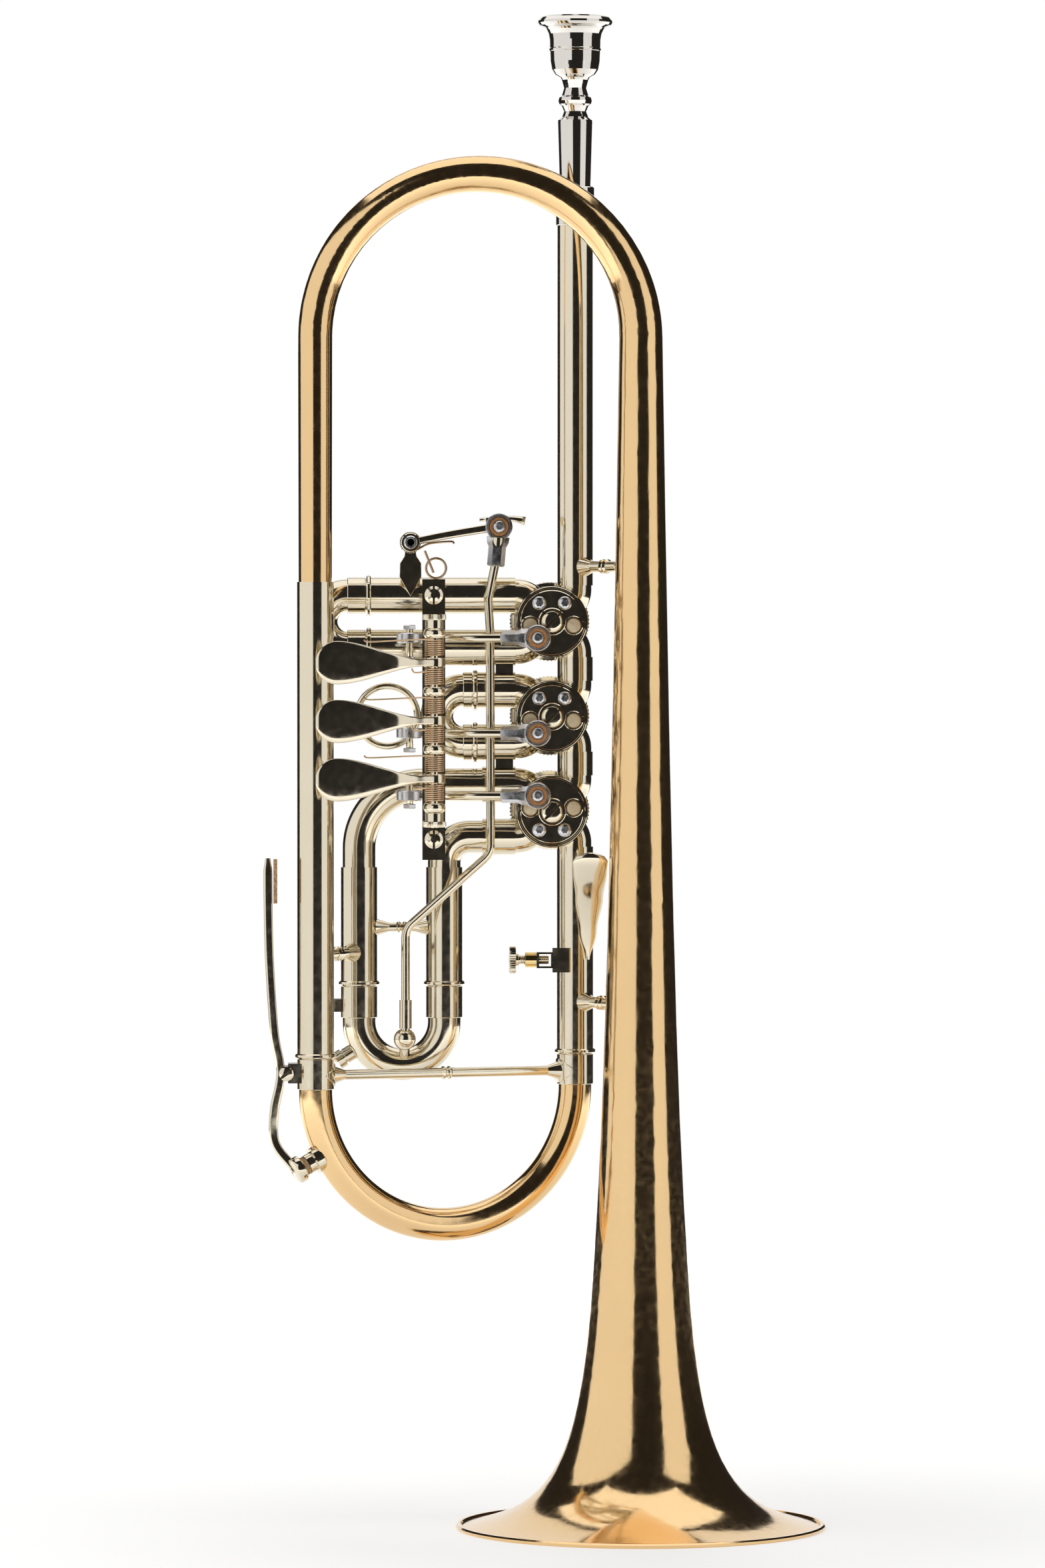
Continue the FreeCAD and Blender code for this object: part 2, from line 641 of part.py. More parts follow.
def make_main_slide():
    lines = [V(BELL_SIDE, 0, 0), V(VALVE_SIDE, DEPTH, 0)]
    legs = []
    for line in lines:
        legs.append(slide_leg(size("main_leg_length"), size("main_ferrule"),
                              Placement(line + UP * FERRULE_TOP, Rotation())))
    span = lines[1] - lines[0]
    radius = size("main_bow_radius")
    tube = pipe([("turn", radius, 90.0), ("turn", radius, 90.0)], [size("slide_radius"), size("tube_bore")],
                aim(lines[0] + UP * (MAIN_SHOULDER - 0.02), DOWN, span))
    centre, outward = bow_station(mm("key_angle"))
    drain = cylinder(1.6, 6.0, centre + outward * 3.0, outward)
    keep("main_slide_bow", cut(tube, drain))

    level = FERRULE_TOP - 6.0
    way = V(span).normalize()
    tubes = [cylinder(size("sleeve_radius") + 0.02, 30, line + UP * (level - 15)) for line in lines]
    brace_start = lines[0] + way * 6.0 + UP * level
    brace_end = lines[1] - way * 6.0 + UP * level
    brace = soldered_rod(brace_start, brace_end, 1.8, 3.6, *tubes)
    keep("main_slide_legs", group(*legs, brace))


def make_water_key():
    """The main slide's water key: saddle and bracket, lever, cork and bumper."""
    centre, outward = bow_station(mm("key_angle"))
    pivot = V(mm("key_line"), 0, mm("key_level"))
    tube = torus(size("main_bow_radius"), size("slide_radius") + 0.02,
                 V((BELL_SIDE + VALVE_SIDE) / 2, DEPTH / 2, MAIN_SHOULDER),
                 V(VALVE_SIDE - BELL_SIDE, DEPTH, 0).cross(UP))
    nipple = fuse(cylinder(4.9, 3.0, centre + outward * 4.0, outward),
                  cylinder(3.65, 5.8, centre + outward * 4.0, outward))
    nipple = cut(nipple, cylinder(1.6, 12, centre + outward * 2, outward), tube)
    ferrule = cylinder(size("sleeve_radius") + 0.02, 30, V(BELL_SIDE, 0, mm("key_level") - 15))
    base = box(6.0, 8.6, 7.0, pivot + V(3.6, 0, 0))
    slot = box(8.0, 4.4, 9.0, pivot + V(0.4, 0, 0))
    lugs = fuse(cylinder(2.6, 8.6, pivot - BACK * 4.3, BACK), base)
    pin_hole = cylinder(1.05, 12, pivot - BACK * 6, BACK)
    pin = fuse(cylinder(1.0, 9.4, pivot - BACK * 4.5, BACK), cylinder(2.3, 0.9, pivot - BACK * 5.3, BACK))
    keep("water_key_saddle", group(nipple, cut(lugs, slot, ferrule, pin_hole), pin))

    hub = cylinder(2.4, 4.0, pivot - BACK * 2, BACK)
    thumb = bent_rod([(pivot.x - 0.6, pivot.z + 1), (-131.6, 178), (-133.4, 205), (-133.9, 241)], 0, 1.6, 8)
    cup_face = centre + outward * 11.9
    shank_end = centre + outward * 14.5
    arm = bent_rod([(pivot.x - 0.6, pivot.z - 1), (-131.5, 150), (-130.6, 137),
                    (shank_end.x + 0.5, shank_end.z + 0.5)], 0, 1.5, 5)
    cup = cut(cylinder(4.9, 3.4, cup_face, outward), cylinder(3.45, 1.5, cup_face, outward))
    bridge = cylinder(2.2, 2.8, centre + outward * 13.6, outward)
    lever = cut(fuse(hub, thumb, arm, cup, bridge), cylinder(1.03, 6, pivot - BACK * 3, BACK),
                cylinder(3.45, 3.7, centre + outward * 9.7, outward))
    keep("water_key_lever", lever)
    cork = cylinder(3.4, 3.45, centre + outward * 9.9, outward)
    bumper = box(1.4, 3.6, 15.8, V(-131.2, 0, 232.7))
    keep("water_key_pads", group(cork, bumper))


# ---------------------------------------------------------------- valve slides
def level_slide(name, index, sleeve_end, leg_length, ferrule_length, extras=()):
    """A valve slide whose two legs run to the left at the levels of its valve's ports."""
    start = mm(sleeve_end)
    right_end = ROTOR_LINE - mm("knuckle_end")
    levels = (UPPER_LEGS[index], LOWER_LEGS[index])
    sleeves = [sleeve(right_end - start, aim(V(start, DEPTH, level), RIGHT)) for level in levels]
    keep(f"{name}_slide_tubes", group(*sleeves))
    joint = start - mm("slide_gap")
    legs = [slide_leg(leg_length, ferrule_length, aim(V(joint, DEPTH, level), RIGHT)) for level in levels]
    keep(f"{name}_slide_legs", group(*legs))
    bow = pipe([("turn", size("leg_offset"), 180.0)], [size("slide_radius"), size("tube_bore")],
               aim(V(joint - ferrule_length - 0.02, DEPTH, levels[0]), LEFT, DOWN))
    keep(f"{name}_slide_bow", fuse(bow, *extras) if extras else bow)


def make_third_slide():
    lines = (mm("third_outer_line"), mm("third_inner_line"))
    bends = (size("third_upper_bend"), size("third_lower_bend"))
    levels = (UPPER_LEGS[2], LOWER_LEGS[2])
    right_end = ROTOR_LINE - mm("knuckle_end")
    joint = right_end - 6.0
    top, bottom = mm("third_sleeve_top"), mm("third_sleeve_bottom")
    crooks = []
    sleeves = []
    legs = []
    for line, bend, level in zip(lines, bends, levels):
        runs = [("run", joint - line - bend.value), ("turn", bend, 90.0),
                ("run", level - bend.value - top + 4)]
        tube = pipe(runs, [size("stub_radius"), size("tube_bore")], aim(V(joint, DEPTH, level), LEFT, DOWN))
        collar = turned([
            (size("stub_radius") - 0.05, 6.2), (size("sleeve_bore"), 6.0), (size("sleeve_bore"), 0),
            (size("sleeve_radius"), 0), (size("sleeve_radius"), 12), (size("stub_radius") - 0.05, 12),
        ], aim(V(right_end, DEPTH, level), LEFT))
        crooks.append(fuse(tube, collar))
        sleeves.append(sleeve(top - bottom, Placement(V(line, DEPTH, bottom), Rotation())))
        legs.append(slide_leg(36.0, 11.5, Placement(V(line, DEPTH, bottom - mm("slide_gap")), Rotation())))
    keep("third_slide_crooks", group(*crooks))
    keep("third_slide_tubes", group(*sleeves))
    keep("third_slide_legs", group(*legs))
    shoulder = bottom - mm("slide_gap") - 11.5
    half = (lines[1] - lines[0]) / 2
    moves = [("run", 1.5), ("turn", half, 180.0), ("run", 1.5)]
    bow = pipe(moves, [size("slide_radius"), size("tube_bore")],
               aim(V(lines[0], DEPTH, shoulder - 0.02), DOWN, RIGHT))
    keep("third_slide_bow", bow)

    middle = V(lines[0] + half, DEPTH, shoulder - 1.52)
    tubes = [cylinder(size("sleeve_radius") + 0.02, 30, V(line, DEPTH, 200)) for line in lines]
    stay = soldered_rod(V(lines[0] + 6, DEPTH, 215), V(lines[1] - 6, DEPTH, 215), 1.6, 3.2, *tubes)
    outer = V(lines[0], DEPTH, 206)
    inner = V(BELL_SIDE, 0, 206)
    way = (outer - inner).normalize()
    ends = [cylinder(size("sleeve_radius") + 0.02, 30, spot - UP * 15) for spot in (outer, inner)]
    link = soldered_rod(inner + way * 6, outer - way * 6, 1.95, 3.6, *ends)
    keep("third_slide_braces", group(stay, link))
    return middle, half


def make_third_key(middle, half):
    """The third slide's water key, on the left of its bow."""
    angle = math.radians(31.5)
    outward = V(-math.cos(angle), 0, -math.sin(angle))
    surface = middle + outward * (half + 5.3)
    tube = torus(half, size("slide_radius") + 0.02, middle, BACK)
    nipple = cut(cylinder(2.9, 3.2, surface, outward), cylinder(1.2, 8, surface - outward, outward), tube)
    line = mm("third_outer_line")
    pivot = V(line - 9.6, DEPTH, 186.7)
    ferrule = cylinder(size("sleeve_radius") + 0.02, 30, V(line, DEPTH, 172))
    lugs = fuse(cylinder(1.9, 6.4, pivot - BACK * 3.2, BACK), box(4.4, 6.4, 4.6, pivot + V(2.2, 0, 0)))
    lugs = cut(lugs, box(6.0, 3.4, 8.0, pivot + V(0.6, 0, 0)), cylinder(0.85, 9, pivot - BACK * 4.5, BACK),
               ferrule)
    pin = cylinder(0.8, 6.8, pivot - BACK * 3.4, BACK)
    keep("third_key_saddle", group(nipple, lugs, pin))
    hub = cylinder(1.8, 3.0, pivot - BACK * 1.5, BACK)
    arm = bent_rod([(pivot.x - 0.4, pivot.z), (-113.0, 178), (-111.6, 168.5),
                    ((surface + outward * 6).x, (surface + outward * 6).z)], DEPTH, 1.2, 3)
    thumb = bent_rod([(pivot.x - 0.4, pivot.z), (-113.5, 195), (-116.5, 207)], DEPTH, 1.2, 6)
    cup_face = surface + outward * 3.9
    cup = cut(cylinder(3.4, 2.6, cup_face, outward), cylinder(2.65, 1.2, cup_face, outward))
    lever = cut(fuse(hub, arm, thumb, cup), cylinder(0.83, 5, pivot - BACK * 2.5, BACK))
    keep("third_key_lever", group(lever, cylinder(2.6, 1.7, surface + outward * 3.3, outward)))


def make_spacers():
    """Blocks soldered between the outer tubes of neighbouring slides."""
    blocks = []
    for upper, lower in ((LOWER_LEGS[0], UPPER_LEGS[1]), (LOWER_LEGS[1], UPPER_LEGS[2])):
        middle = V(-48.2, DEPTH, (upper + lower) / 2)
        tubes = [cylinder(size("sleeve_radius") + 0.02, 20, V(-58, DEPTH, level), RIGHT)
                 for level in (upper, lower)]
        blocks.append(cut(box(6.3, 6.0, 3.4, middle), *tubes))
    keep("slide_spacers", group(*blocks))


def make_bell_braces():
    stays = []
    for level, tube_radius in ((345.7, "windway_radius"), (188.0, "sleeve_radius")):
        tube_axis, bell_axis = V(VALVE_SIDE, DEPTH, level), V(0, 0, level)
        way = (bell_axis - tube_axis).normalize()
        wall = flare_radius(level - 4) + 0.02
        ends = [cylinder(size(tube_radius) + 0.02, 30, tube_axis - UP * 15),
                cylinder(wall, 12, bell_axis - UP * 6)]
        stays.append(soldered_rod(tube_axis + way * 5.8, bell_axis - way * (wall - 0.6), 1.95, 3.6, *ends))
    keep("bell_braces", group(*stays))


# ---------------------------------------------------------------- levers
def make_rail():
    line, depth = mm("axle_line") - 0.2, mm("axle_depth")
    bottom, top = 240.4, 341.0
    thick = mm("rail_thickness")
    front = -3.0
    screw_levels = (UPPER_LEGS[0], LOWER_LEGS[2])
    bar = box(size("rail_width"), size("rail_thickness"), top - bottom,
              V(line, front + thick / 2, (top + bottom) / 2))
    holes = [cylinder(1.6, 6, V(line, front - 2, level), BACK) for level in screw_levels]
    keep("lever_rail", cut(bar, *holes))
    pillars = []
    screws = []
    for level in screw_levels:
        back_face = front + thick + 0.02
        pillar = cut(cylinder(3.0, 29, V(line, back_face, level), BACK),
                     cylinder(1.55, 6, V(line, back_face - 1, level), BACK),
                     cylinder(size("sleeve_radius") + 0.02, 20, V(line - 10, DEPTH, level), RIGHT))
        pillars.append(pillar)
        screws.append(slotted_screw(3.3, 1.9, 1.5, 6.0, aim(V(line, front - 0.02, level), FRONT, UP)))
    keep("rail_pillars", group(*pillars))
    keep("rail_screws", group(*screws))

    posts = []
    for level in POST_LEVELS:
        spot = V(line + 0.2, depth, level)
        height = mm("hub_height")
        barrel = cylinder(3.75, height, spot - UP * height / 2)
        web = box(4.6, front - 0.02 - depth, height, V(spot.x, (front - 0.02 + depth) / 2, level))
        posts.append(cut(fuse(barrel, web), cylinder(size("axle_radius") + 0.03, 8, spot - UP * 4)))
    keep("axle_posts", group(*posts))

    spot = V(mm("axle_line"), depth, 0)
    keep("lever_axle", cylinder(size("axle_radius"), 76.5, spot + UP * 252.0))
    nuts = []
    for level, way in ((323.3, UP), (257.4, DOWN)):
        nuts.append(turned([
            (size("axle_radius") + 0.02, 0), (3.15, 0), (3.15, 3.1), (3.9, 3.1), (4.15, 3.35),
            (4.15, 5.0), (3.9, 5.2), (size("axle_radius") + 0.02, 5.2),
        ], aim(spot + UP * level, way)))
    keep("axle_nuts", group(*nuts))
    springs = []
    for post, hub in zip(sorted(POST_LEVELS + POST_LEVELS[1:3]), sorted(HUB_LEVELS * 2)):
        springs.append(coil_spring(spot + UP * (post + hub) / 2))
    coil = torus(3.6, 0.45, V(-73.1, 22.0, 345.1), BACK)
    tail = cylinder(0.45, 8.6, V(-77.2, 22.0, 351.4), V(3.2, 0, -8.0))
    springs.append(fuse(coil, tail))
    keep("return_springs", group(*springs))


def coil_spring(centre):
    """A spring of eight close turns about the axle."""
    body = doc.addObject("PartDesign::Body", "Spring")
    section = new_sketch(body, "XZ_Plane")
    section.addGeometry(Part.Circle(V(3.1, -3.0, 0), UP, mm("spring_wire")), False)
    constrain(section, "Radius", 0, amount=size("spring_wire"))
    section.addConstraint(Sketcher.Constraint("DistanceX", -1, 1, 0, 3, 3.1))
    section.addConstraint(Sketcher.Constraint("DistanceY", -1, 1, 0, 3, -3.0))
    coil = body.newObject("PartDesign::AdditiveHelix", "Coil")
    coil.Profile = section
    coil.ReferenceAxis = (section, ["V_Axis"])
    coil.Mode = 0
    coil.Pitch = 0.75
    coil.Height = 6.0
    body.Placement = Placement(V(centre), Rotation())
    return body


def spoon_edge(distance, length, half_width):
    """Half the width of a paddle at a distance from its axle."""
    neck = 1.35
    tip_centre = length - half_width
    if distance >= tip_centre:
        return math.sqrt(max(half_width ** 2 - (distance - tip_centre) ** 2, 0.0))
    swell = max(distance - 9.0, 0.0) / (tip_centre - 9.0)
    return neck + (half_width - neck) * swell ** 2 * (3 - 2 * swell)


def make_paddle(index):
    """A finger paddle with its hub and the crank that drives the link rod."""
    length, thick = mm("paddle_length"), mm("paddle_thickness")
    half_width = mm("paddle_width") / 2
    stations = [3.0, 9.0, 14.0, 19.0, 24.0, 29.0, 34.0, length - half_width]
    stations += [length - half_width * (1 - math.sin(math.radians(step))) for step in (25, 50, 70)]
    upper = [V(spot, -thick / 2, spoon_edge(spot, length, half_width)) for spot in stations]
    lower = [V(spot, -thick / 2, -spoon_edge(spot, length, half_width)) for spot in reversed(stations)]
    curve = Part.BSplineCurve()
    curve.interpolate(upper + [V(length, -thick / 2, 0)] + lower)
    outline = Part.Wire([curve.toShape(), Part.makeLine(lower[-1], upper[0])])
    blade = Part.Face(outline).extrude(BACK * thick)
    tilt = Rotation(UP, 180 + mm("paddle_tilt"))
    blade.Placement = Placement(V(), tilt)

    height = mm("hub_height")
    hub = Part.makeCylinder(mm("hub_radius"), height, UP * (-height / 2))
    crank_at = V(-8.6, 0, 0)
    crank_end = V(-8.6, 24.0, 0)
    rod_rise = joint_point(index).z - HUB_LEVELS[index]
    sense = math.copysign(1.0, rod_rise)
    crank = Part.makeBox(2.4, 30.5, 2.6, crank_at + V(-1.2, -4.5, -1.3))
    boss = Part.makeCylinder(2.6, 2.6, crank_end - UP * 1.3)
    swing = mm("arm_reach") * (1 - math.sin(math.radians(abs(REST_ANGLES[index]))))
    swings_to_head = sense * REST_ANGLES[index] > 0
    reach_up = abs(rod_rise) + 3.1 + (swing + 0.15 if swings_to_head else 0.0)
    pin = Part.makeCylinder(mm("pin_radius"), reach_up, crank_end, UP * sense)
    head = Part.makeCylinder(2.6, 1.6, crank_end + UP * sense * reach_up, UP * sense)
    shape = blade.multiFuse([hub, crank, boss, pin, head])
    shape = shape.cut(Part.makeCylinder(mm("axle_radius") + 0.03, 8, UP * -4))
    paddle = doc.addObject("Part::Feature", "Paddle")
    paddle.Shape = shape
    keep(f"paddle_{index + 1}", paddle,
         Placement(V(mm("axle_line"), mm("axle_depth"), HUB_LEVELS[index]), Rotation()))


def make_link_rod(index):
    """The rod between a stop arm and a crank, with a ring socket at each end."""
    start = joint_point(index)
    finish = V(CRANK_POINT.x, CRANK_POINT.y, start.z)
    ring = size("joint_radius")
    way = (finish - start).normalize()
    span = (finish - start).Length
    front_ring = cylinder(ring, 3.3, start + BACK * -1.65, BACK)
    back_ring = cylinder(ring, 3.7, finish - UP * 1.85)
    rod = cylinder(1.6, span - 8.0, start + way * 4.0, way)
    sockets = [cylinder(2.35, 8.0, start + way * 4.2, way), cylinder(2.35, 7.0, finish - way * 11.0, way)]
    front_bore = cylinder(size("pin_radius") + 0.05, 8, start - BACK * 4, BACK)
    back_bore = cylinder(3.5, 8, finish - UP * 4)
    keep(f"link_rod_{index + 1}", cut(fuse(front_ring, back_ring, rod, *sockets), front_bore, back_bore))


# ---------------------------------------------------------------- third slide trigger
def make_trigger(bow_middle, bow_half):
    line, level, depth = mm("trigger_line"), mm("trigger_level"), mm("rod_depth")
    pivot = V(line, 0, level)
    tube_level = UPPER_LEGS[0]
    back = 24.4
    tube = cylinder(size("sleeve_radius") + 0.02, 30, V(line - 15, DEPTH, tube_level), RIGHT)
    post_height = level - tube_level + 1
    post = fuse(cylinder(3.9, 2.2, pivot + BACK * back, BACK),
                box(4.2, 2.2, post_height, V(line, back + 1.1, level - post_height / 2)),
                box(7.1, 5.0, 10.0, V(line, back + 2.5, tube_level + 5)))
    post = cut(post, tube, cylinder(1.55, 8, pivot + BACK * 20, BACK))
    screw = fuse(cylinder(1.5, back + 2.3 - 18.6, pivot + BACK * 18.6, BACK),
                 cylinder(2.4, 1.0, pivot + BACK * 17.7, BACK))
    keep("trigger_post", group(post, screw))

    rise = math.radians(mm("trigger_rest"))
    arm = mm("trigger_arm")
    way = V(math.cos(rise), 0, math.sin(rise))
    tip = pivot + way * arm
    slope = Placement(V(pivot), Rotation(BACK, -mm("trigger_rest")))
    lever = fuse(
        cylinder(3.3, 2.5, pivot + BACK * 21.7, BACK),
        box(arm, 2.3, 3.0, V(arm / 2, 23.0, 0), slope),
        cylinder(2.6, 2.3, tip + BACK * 21.85, BACK),
        cylinder(size("pin_radius"), 6.0, tip + BACK * 16.5, BACK),
        cylinder(2.0, 0.9, tip + BACK * 15.7, BACK),
        box(17.0, 13.0, 1.6, V(arm + 2.0, 28.5, 3.0), slope),
        box(6.0, 2.3, 4.2, V(arm - 2.0, 23.0, 1.7), slope),
    )
    keep("trigger_lever", cut(lever, cylinder(1.53, 8, pivot + BACK * 19, BACK)))

    ring_front = depth - 1.7
    socket_way = V(-51.6 - tip.x, 0, -14).normalize()
    ball_spot = V(-84.5, depth + 1.0, 174.9)
    corners = [(-51.6, tip.z - 12.5), (-54.3, 333.8), (-53.6, 321.6), (-53.4, 242.1), (-84.2, 214.7),
               (-84.2, ball_spot.z + 2)]
    rod = bent_rod(corners, depth, 1.55, 7)
    contact = V(ball_spot.x, DEPTH, bow_middle.z - bow_half)
    toward = (contact - ball_spot).normalize()
    pieces = [
        cylinder(size("joint_radius"), 3.4, V(tip.x, ring_front, tip.z), BACK),
        cylinder(2.7, 10.0, V(tip.x, depth, tip.z) + socket_way * 4.0, socket_way),
        rod,
        cylinder(2.25, 10.3, V(-84.2, depth, 178.8)),
        ball(4.0, ball_spot),
        cylinder(1.9, (contact - ball_spot).Length, ball_spot, toward),
    ]
    bow_skin = torus(bow_half, size("slide_radius") + 0.02, bow_middle, BACK)
    clear = cylinder(2.1, 8, V(tip.x, depth - 4, tip.z), BACK)
    keep("trigger_rod", cut(fuse(*pieces), clear, bow_skin))


# ---------------------------------------------------------------- hook and lyre holder
def slab(corners, thickness, placement):
    """A flat plate from its corner points, extruded along its own +Z."""
    body = doc.addObject("PartDesign::Body", "Slab")
    sketch = new_sketch(body, "XY_Plane")
    count = len(corners)
    for index, (first, second) in enumerate(corners):
        after = corners[(index + 1) % count]
        sketch.addGeometry(Part.LineSegment(V(first, second, 0), V(after[0], after[1], 0)), False)
    for index in range(count):
        sketch.addConstraint(Sketcher.Constraint("Coincident", index, 1, (index - 1) % count, 2))
    pad = body.newObject("PartDesign::Pad", "Pad")
    pad.Profile = sketch
    drive(pad, "Length", thickness)
    body.Placement = placement
    return body


def make_hook():
    """A teardrop leaf that rises from the valve-side tube and curls towards the player."""
    centre, bottom, top, half = -17.8, 203.5, 242.5, 6.7
    steps = 12
    left = []
    right = []
    for index in range(steps + 1):
        share = index / steps
        level = bottom + (top - bottom) * share
        width = half * math.sin(math.pi * share ** 1.25) ** 0.75 if 0 < share < 1 else 0.5
        left.append((centre - width, level))
        right.append((centre + width, level))
    outline = slab(left + list(reversed(right)), 40, Placement(V(0, 32, 0), VALVE_TURN))
    curve = [(26.6, 203), (25.3, 210), (22.3, 218), (17.8, 226), (12.8, 233), (9.3, 239), (8.0, 244)]
    sheet_corners = curve + [(depth - 1.5, level) for depth, level in reversed(curve)]
    side_view = slab(sheet_corners, 30, Placement(V(centre - 15, 0, 0), Rotation(BACK, UP, RIGHT, "ZXY")))
    leaf = doc.addObject("Part::Common", "Leaf")
    leaf.Base = outline
    leaf.Tool = side_view
    tube = cylinder(size("sleeve_radius") + 0.02, 60, V(VALVE_SIDE, DEPTH, 195))
    keep("pinky_hook", cut(leaf, tube))


def make_lyre_holder():
    level, depth = 203.2, 28.0
    tube = cylinder(size("sleeve_radius") + 0.02, 30, V(VALVE_SIDE, DEPTH, level - 15))
    frame = box(6.05, 7.0, 5.8, V(-33.6, depth, level))
    window = box(4.3, 10.0, 4.4, V(-33.6, depth, level))
    foot = box(6.0, 7.0, 8.9, V(-27.9, depth, level))
    screw_hole = cylinder(1.75, 8, V(-42, depth, level), RIGHT)
    holder = cut(fuse(frame, foot), window, tube, screw_hole)
    collar = cut(cylinder(2.7, 4.1, V(-40.75, depth, level), RIGHT),
                 cylinder(1.75, 6, V(-41.5, depth, level), RIGHT))
    keep("lyre_holder", group(holder, collar))
    head = cylinder(4.8, 2.4, V(-46.5, depth, level), RIGHT)
    shank = cylinder(1.7, 12.0, V(-44.2, depth, level), RIGHT)
    keep("lyre_screw", fuse(head, shank))


# ---------------------------------------------------------------- the whole instrument
def build():
    make_bell()
    make_leadpipe()
    make_mouthpiece()
    make_valves()
    make_main_tubes()
    make_main_slide()
    make_water_key()
    level_slide("first", 0, "first_sleeve_end", 38.0, 6.6)
    ring_line = mm("second_sleeve_end") - 31.0
    ring = torus(10.9, 1.25, V(ring_line, DEPTH, LEVELS[1]), BACK)
    level_slide("second", 1, "second_sleeve_end", 10.0, 3.3, (ring,))
    middle, half = make_third_slide()
    make_third_key(middle, half)
    make_spacers()
    make_bell_braces()
    make_rail()
    for index in range(3):
        make_paddle(index)
        make_link_rod(index)
    make_trigger(middle, half)
    make_hook()
    make_lyre_holder()
    doc.recompute()


def check():
    failed = [obj.Name for obj in doc.Objects if {"Invalid", "Error"} & set(obj.State)]
    if failed:
        raise RuntimeError("failed objects: " + ", ".join(failed))
    for label, obj in SUBPARTS.items():
        if obj.Shape.isNull() or not obj.Shape.isValid() or not obj.Shape.Solids:
            raise RuntimeError("bad shape: " + label)


def export():
    os.makedirs("parts", exist_ok=True)
    for label, obj in SUBPARTS.items():
        obj.Shape.exportStep(f"parts/{label}.step")
        print(f"{label:24s} {len(obj.Shape.Solids)} solids {obj.Shape.Volume:10.1f} mm3")


build()
check()
export()
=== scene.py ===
"""Looks of the rotary trumpet: materials, finely made visible pieces, lights, floor and camera.

Meshes are built in millimetres; materials, lights, floor and camera are in metres.
"""

import json
import math

import bmesh
import bpy
from mathutils import Matrix, Vector

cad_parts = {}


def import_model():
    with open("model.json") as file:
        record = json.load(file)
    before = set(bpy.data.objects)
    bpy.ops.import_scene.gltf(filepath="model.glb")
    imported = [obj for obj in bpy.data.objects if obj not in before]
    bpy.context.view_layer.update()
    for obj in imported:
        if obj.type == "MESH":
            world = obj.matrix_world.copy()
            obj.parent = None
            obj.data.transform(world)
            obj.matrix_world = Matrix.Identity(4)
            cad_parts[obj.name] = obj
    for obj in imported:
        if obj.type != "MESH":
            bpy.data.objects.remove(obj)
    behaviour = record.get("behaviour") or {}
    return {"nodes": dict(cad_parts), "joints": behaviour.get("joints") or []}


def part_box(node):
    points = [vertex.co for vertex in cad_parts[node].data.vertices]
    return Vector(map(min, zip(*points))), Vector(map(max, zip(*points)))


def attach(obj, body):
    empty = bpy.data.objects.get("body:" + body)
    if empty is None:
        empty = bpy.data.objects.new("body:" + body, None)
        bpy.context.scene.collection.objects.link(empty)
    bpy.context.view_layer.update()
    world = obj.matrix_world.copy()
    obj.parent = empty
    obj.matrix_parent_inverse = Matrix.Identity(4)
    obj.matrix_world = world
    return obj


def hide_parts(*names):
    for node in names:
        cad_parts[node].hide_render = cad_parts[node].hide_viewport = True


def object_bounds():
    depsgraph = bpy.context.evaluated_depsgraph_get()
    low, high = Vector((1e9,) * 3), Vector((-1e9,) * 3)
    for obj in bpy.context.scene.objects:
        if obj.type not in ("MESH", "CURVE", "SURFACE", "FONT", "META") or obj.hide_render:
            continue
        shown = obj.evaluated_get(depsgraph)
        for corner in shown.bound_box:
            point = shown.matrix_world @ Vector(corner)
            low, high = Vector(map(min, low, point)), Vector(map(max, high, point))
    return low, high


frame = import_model()
NODES = frame["nodes"]
CAD_LOW, CAD_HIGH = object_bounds()

MM = 0.001
SMOOTH_ANGLE = math.radians(32)


# ---------------------------------------------------------------- materials

class Shader:
    """A material with one Principled shader, and short ways to add the nodes that feed it."""

    def __init__(self, name, colour, metallic, roughness, **constants):
        self.material = bpy.data.materials.new(name)
        self.material.use_nodes = True
        self.tree = self.material.node_tree
        self.shader = self.tree.nodes["Principled BSDF"]
        self.set(**{"Base Color": (*colour, 1), "Metallic": metallic, "Roughness": roughness})
        self.set(**constants)

    def set(self, **values):
        for socket, value in values.items():
            self.shader.inputs[socket.replace("_", " ")].default_value = value

    def node(self, kind, **values):
        made = self.tree.nodes.new(kind)
        for socket, value in values.items():
            made.inputs[socket.replace("_", " ")].default_value = value
        return made

    def link(self, source, target):
        self.tree.links.new(source, target)

    def place(self):
        """The object's own coordinates."""
        return self.node("ShaderNodeTexCoord").outputs["Object"]

    def noise(self, scale, detail=3.0):
        texture = self.node("ShaderNodeTexNoise", Scale=scale, Detail=detail)
        self.link(self.place(), texture.inputs["Vector"])
        return texture.outputs["Fac"]

    def cells(self, scale):
        texture = self.node("ShaderNodeTexVoronoi", Scale=scale)
        self.link(self.place(), texture.inputs["Vector"])
        return texture.outputs["Distance"]

    def spread(self, factor, low, high, start=0.3, end=0.7):
        """Maps a texture's middle range onto low to high."""
        ranged = self.node(
            "ShaderNodeMapRange",
            From_Min=start, From_Max=end, To_Min=low, To_Max=high,
        )
        self.link(factor, ranged.inputs["Value"])
        return ranged.outputs["Result"]

    def mixed(self, factor, first, second):
        """A colour that runs from first to second as factor goes from 0 to 1."""
        ramp = self.node("ShaderNodeValToRGB")
        ramp.color_ramp.elements[0].color = (*first, 1)
        ramp.color_ramp.elements[1].color = (*second, 1)
        self.link(factor, ramp.inputs["Fac"])
        return ramp.outputs["Color"]

    def feed(self, socket, source):
        self.link(source, self.shader.inputs[socket])

    def bump(self, height, depth, strength=1.0):
        made = self.node("ShaderNodeBump", Strength=strength, Distance=depth)
        self.link(height, made.inputs["Height"])
        self.feed("Normal", made.outputs["Normal"])


def shade(colour, factor):
    return tuple(channel * factor for channel in colour)


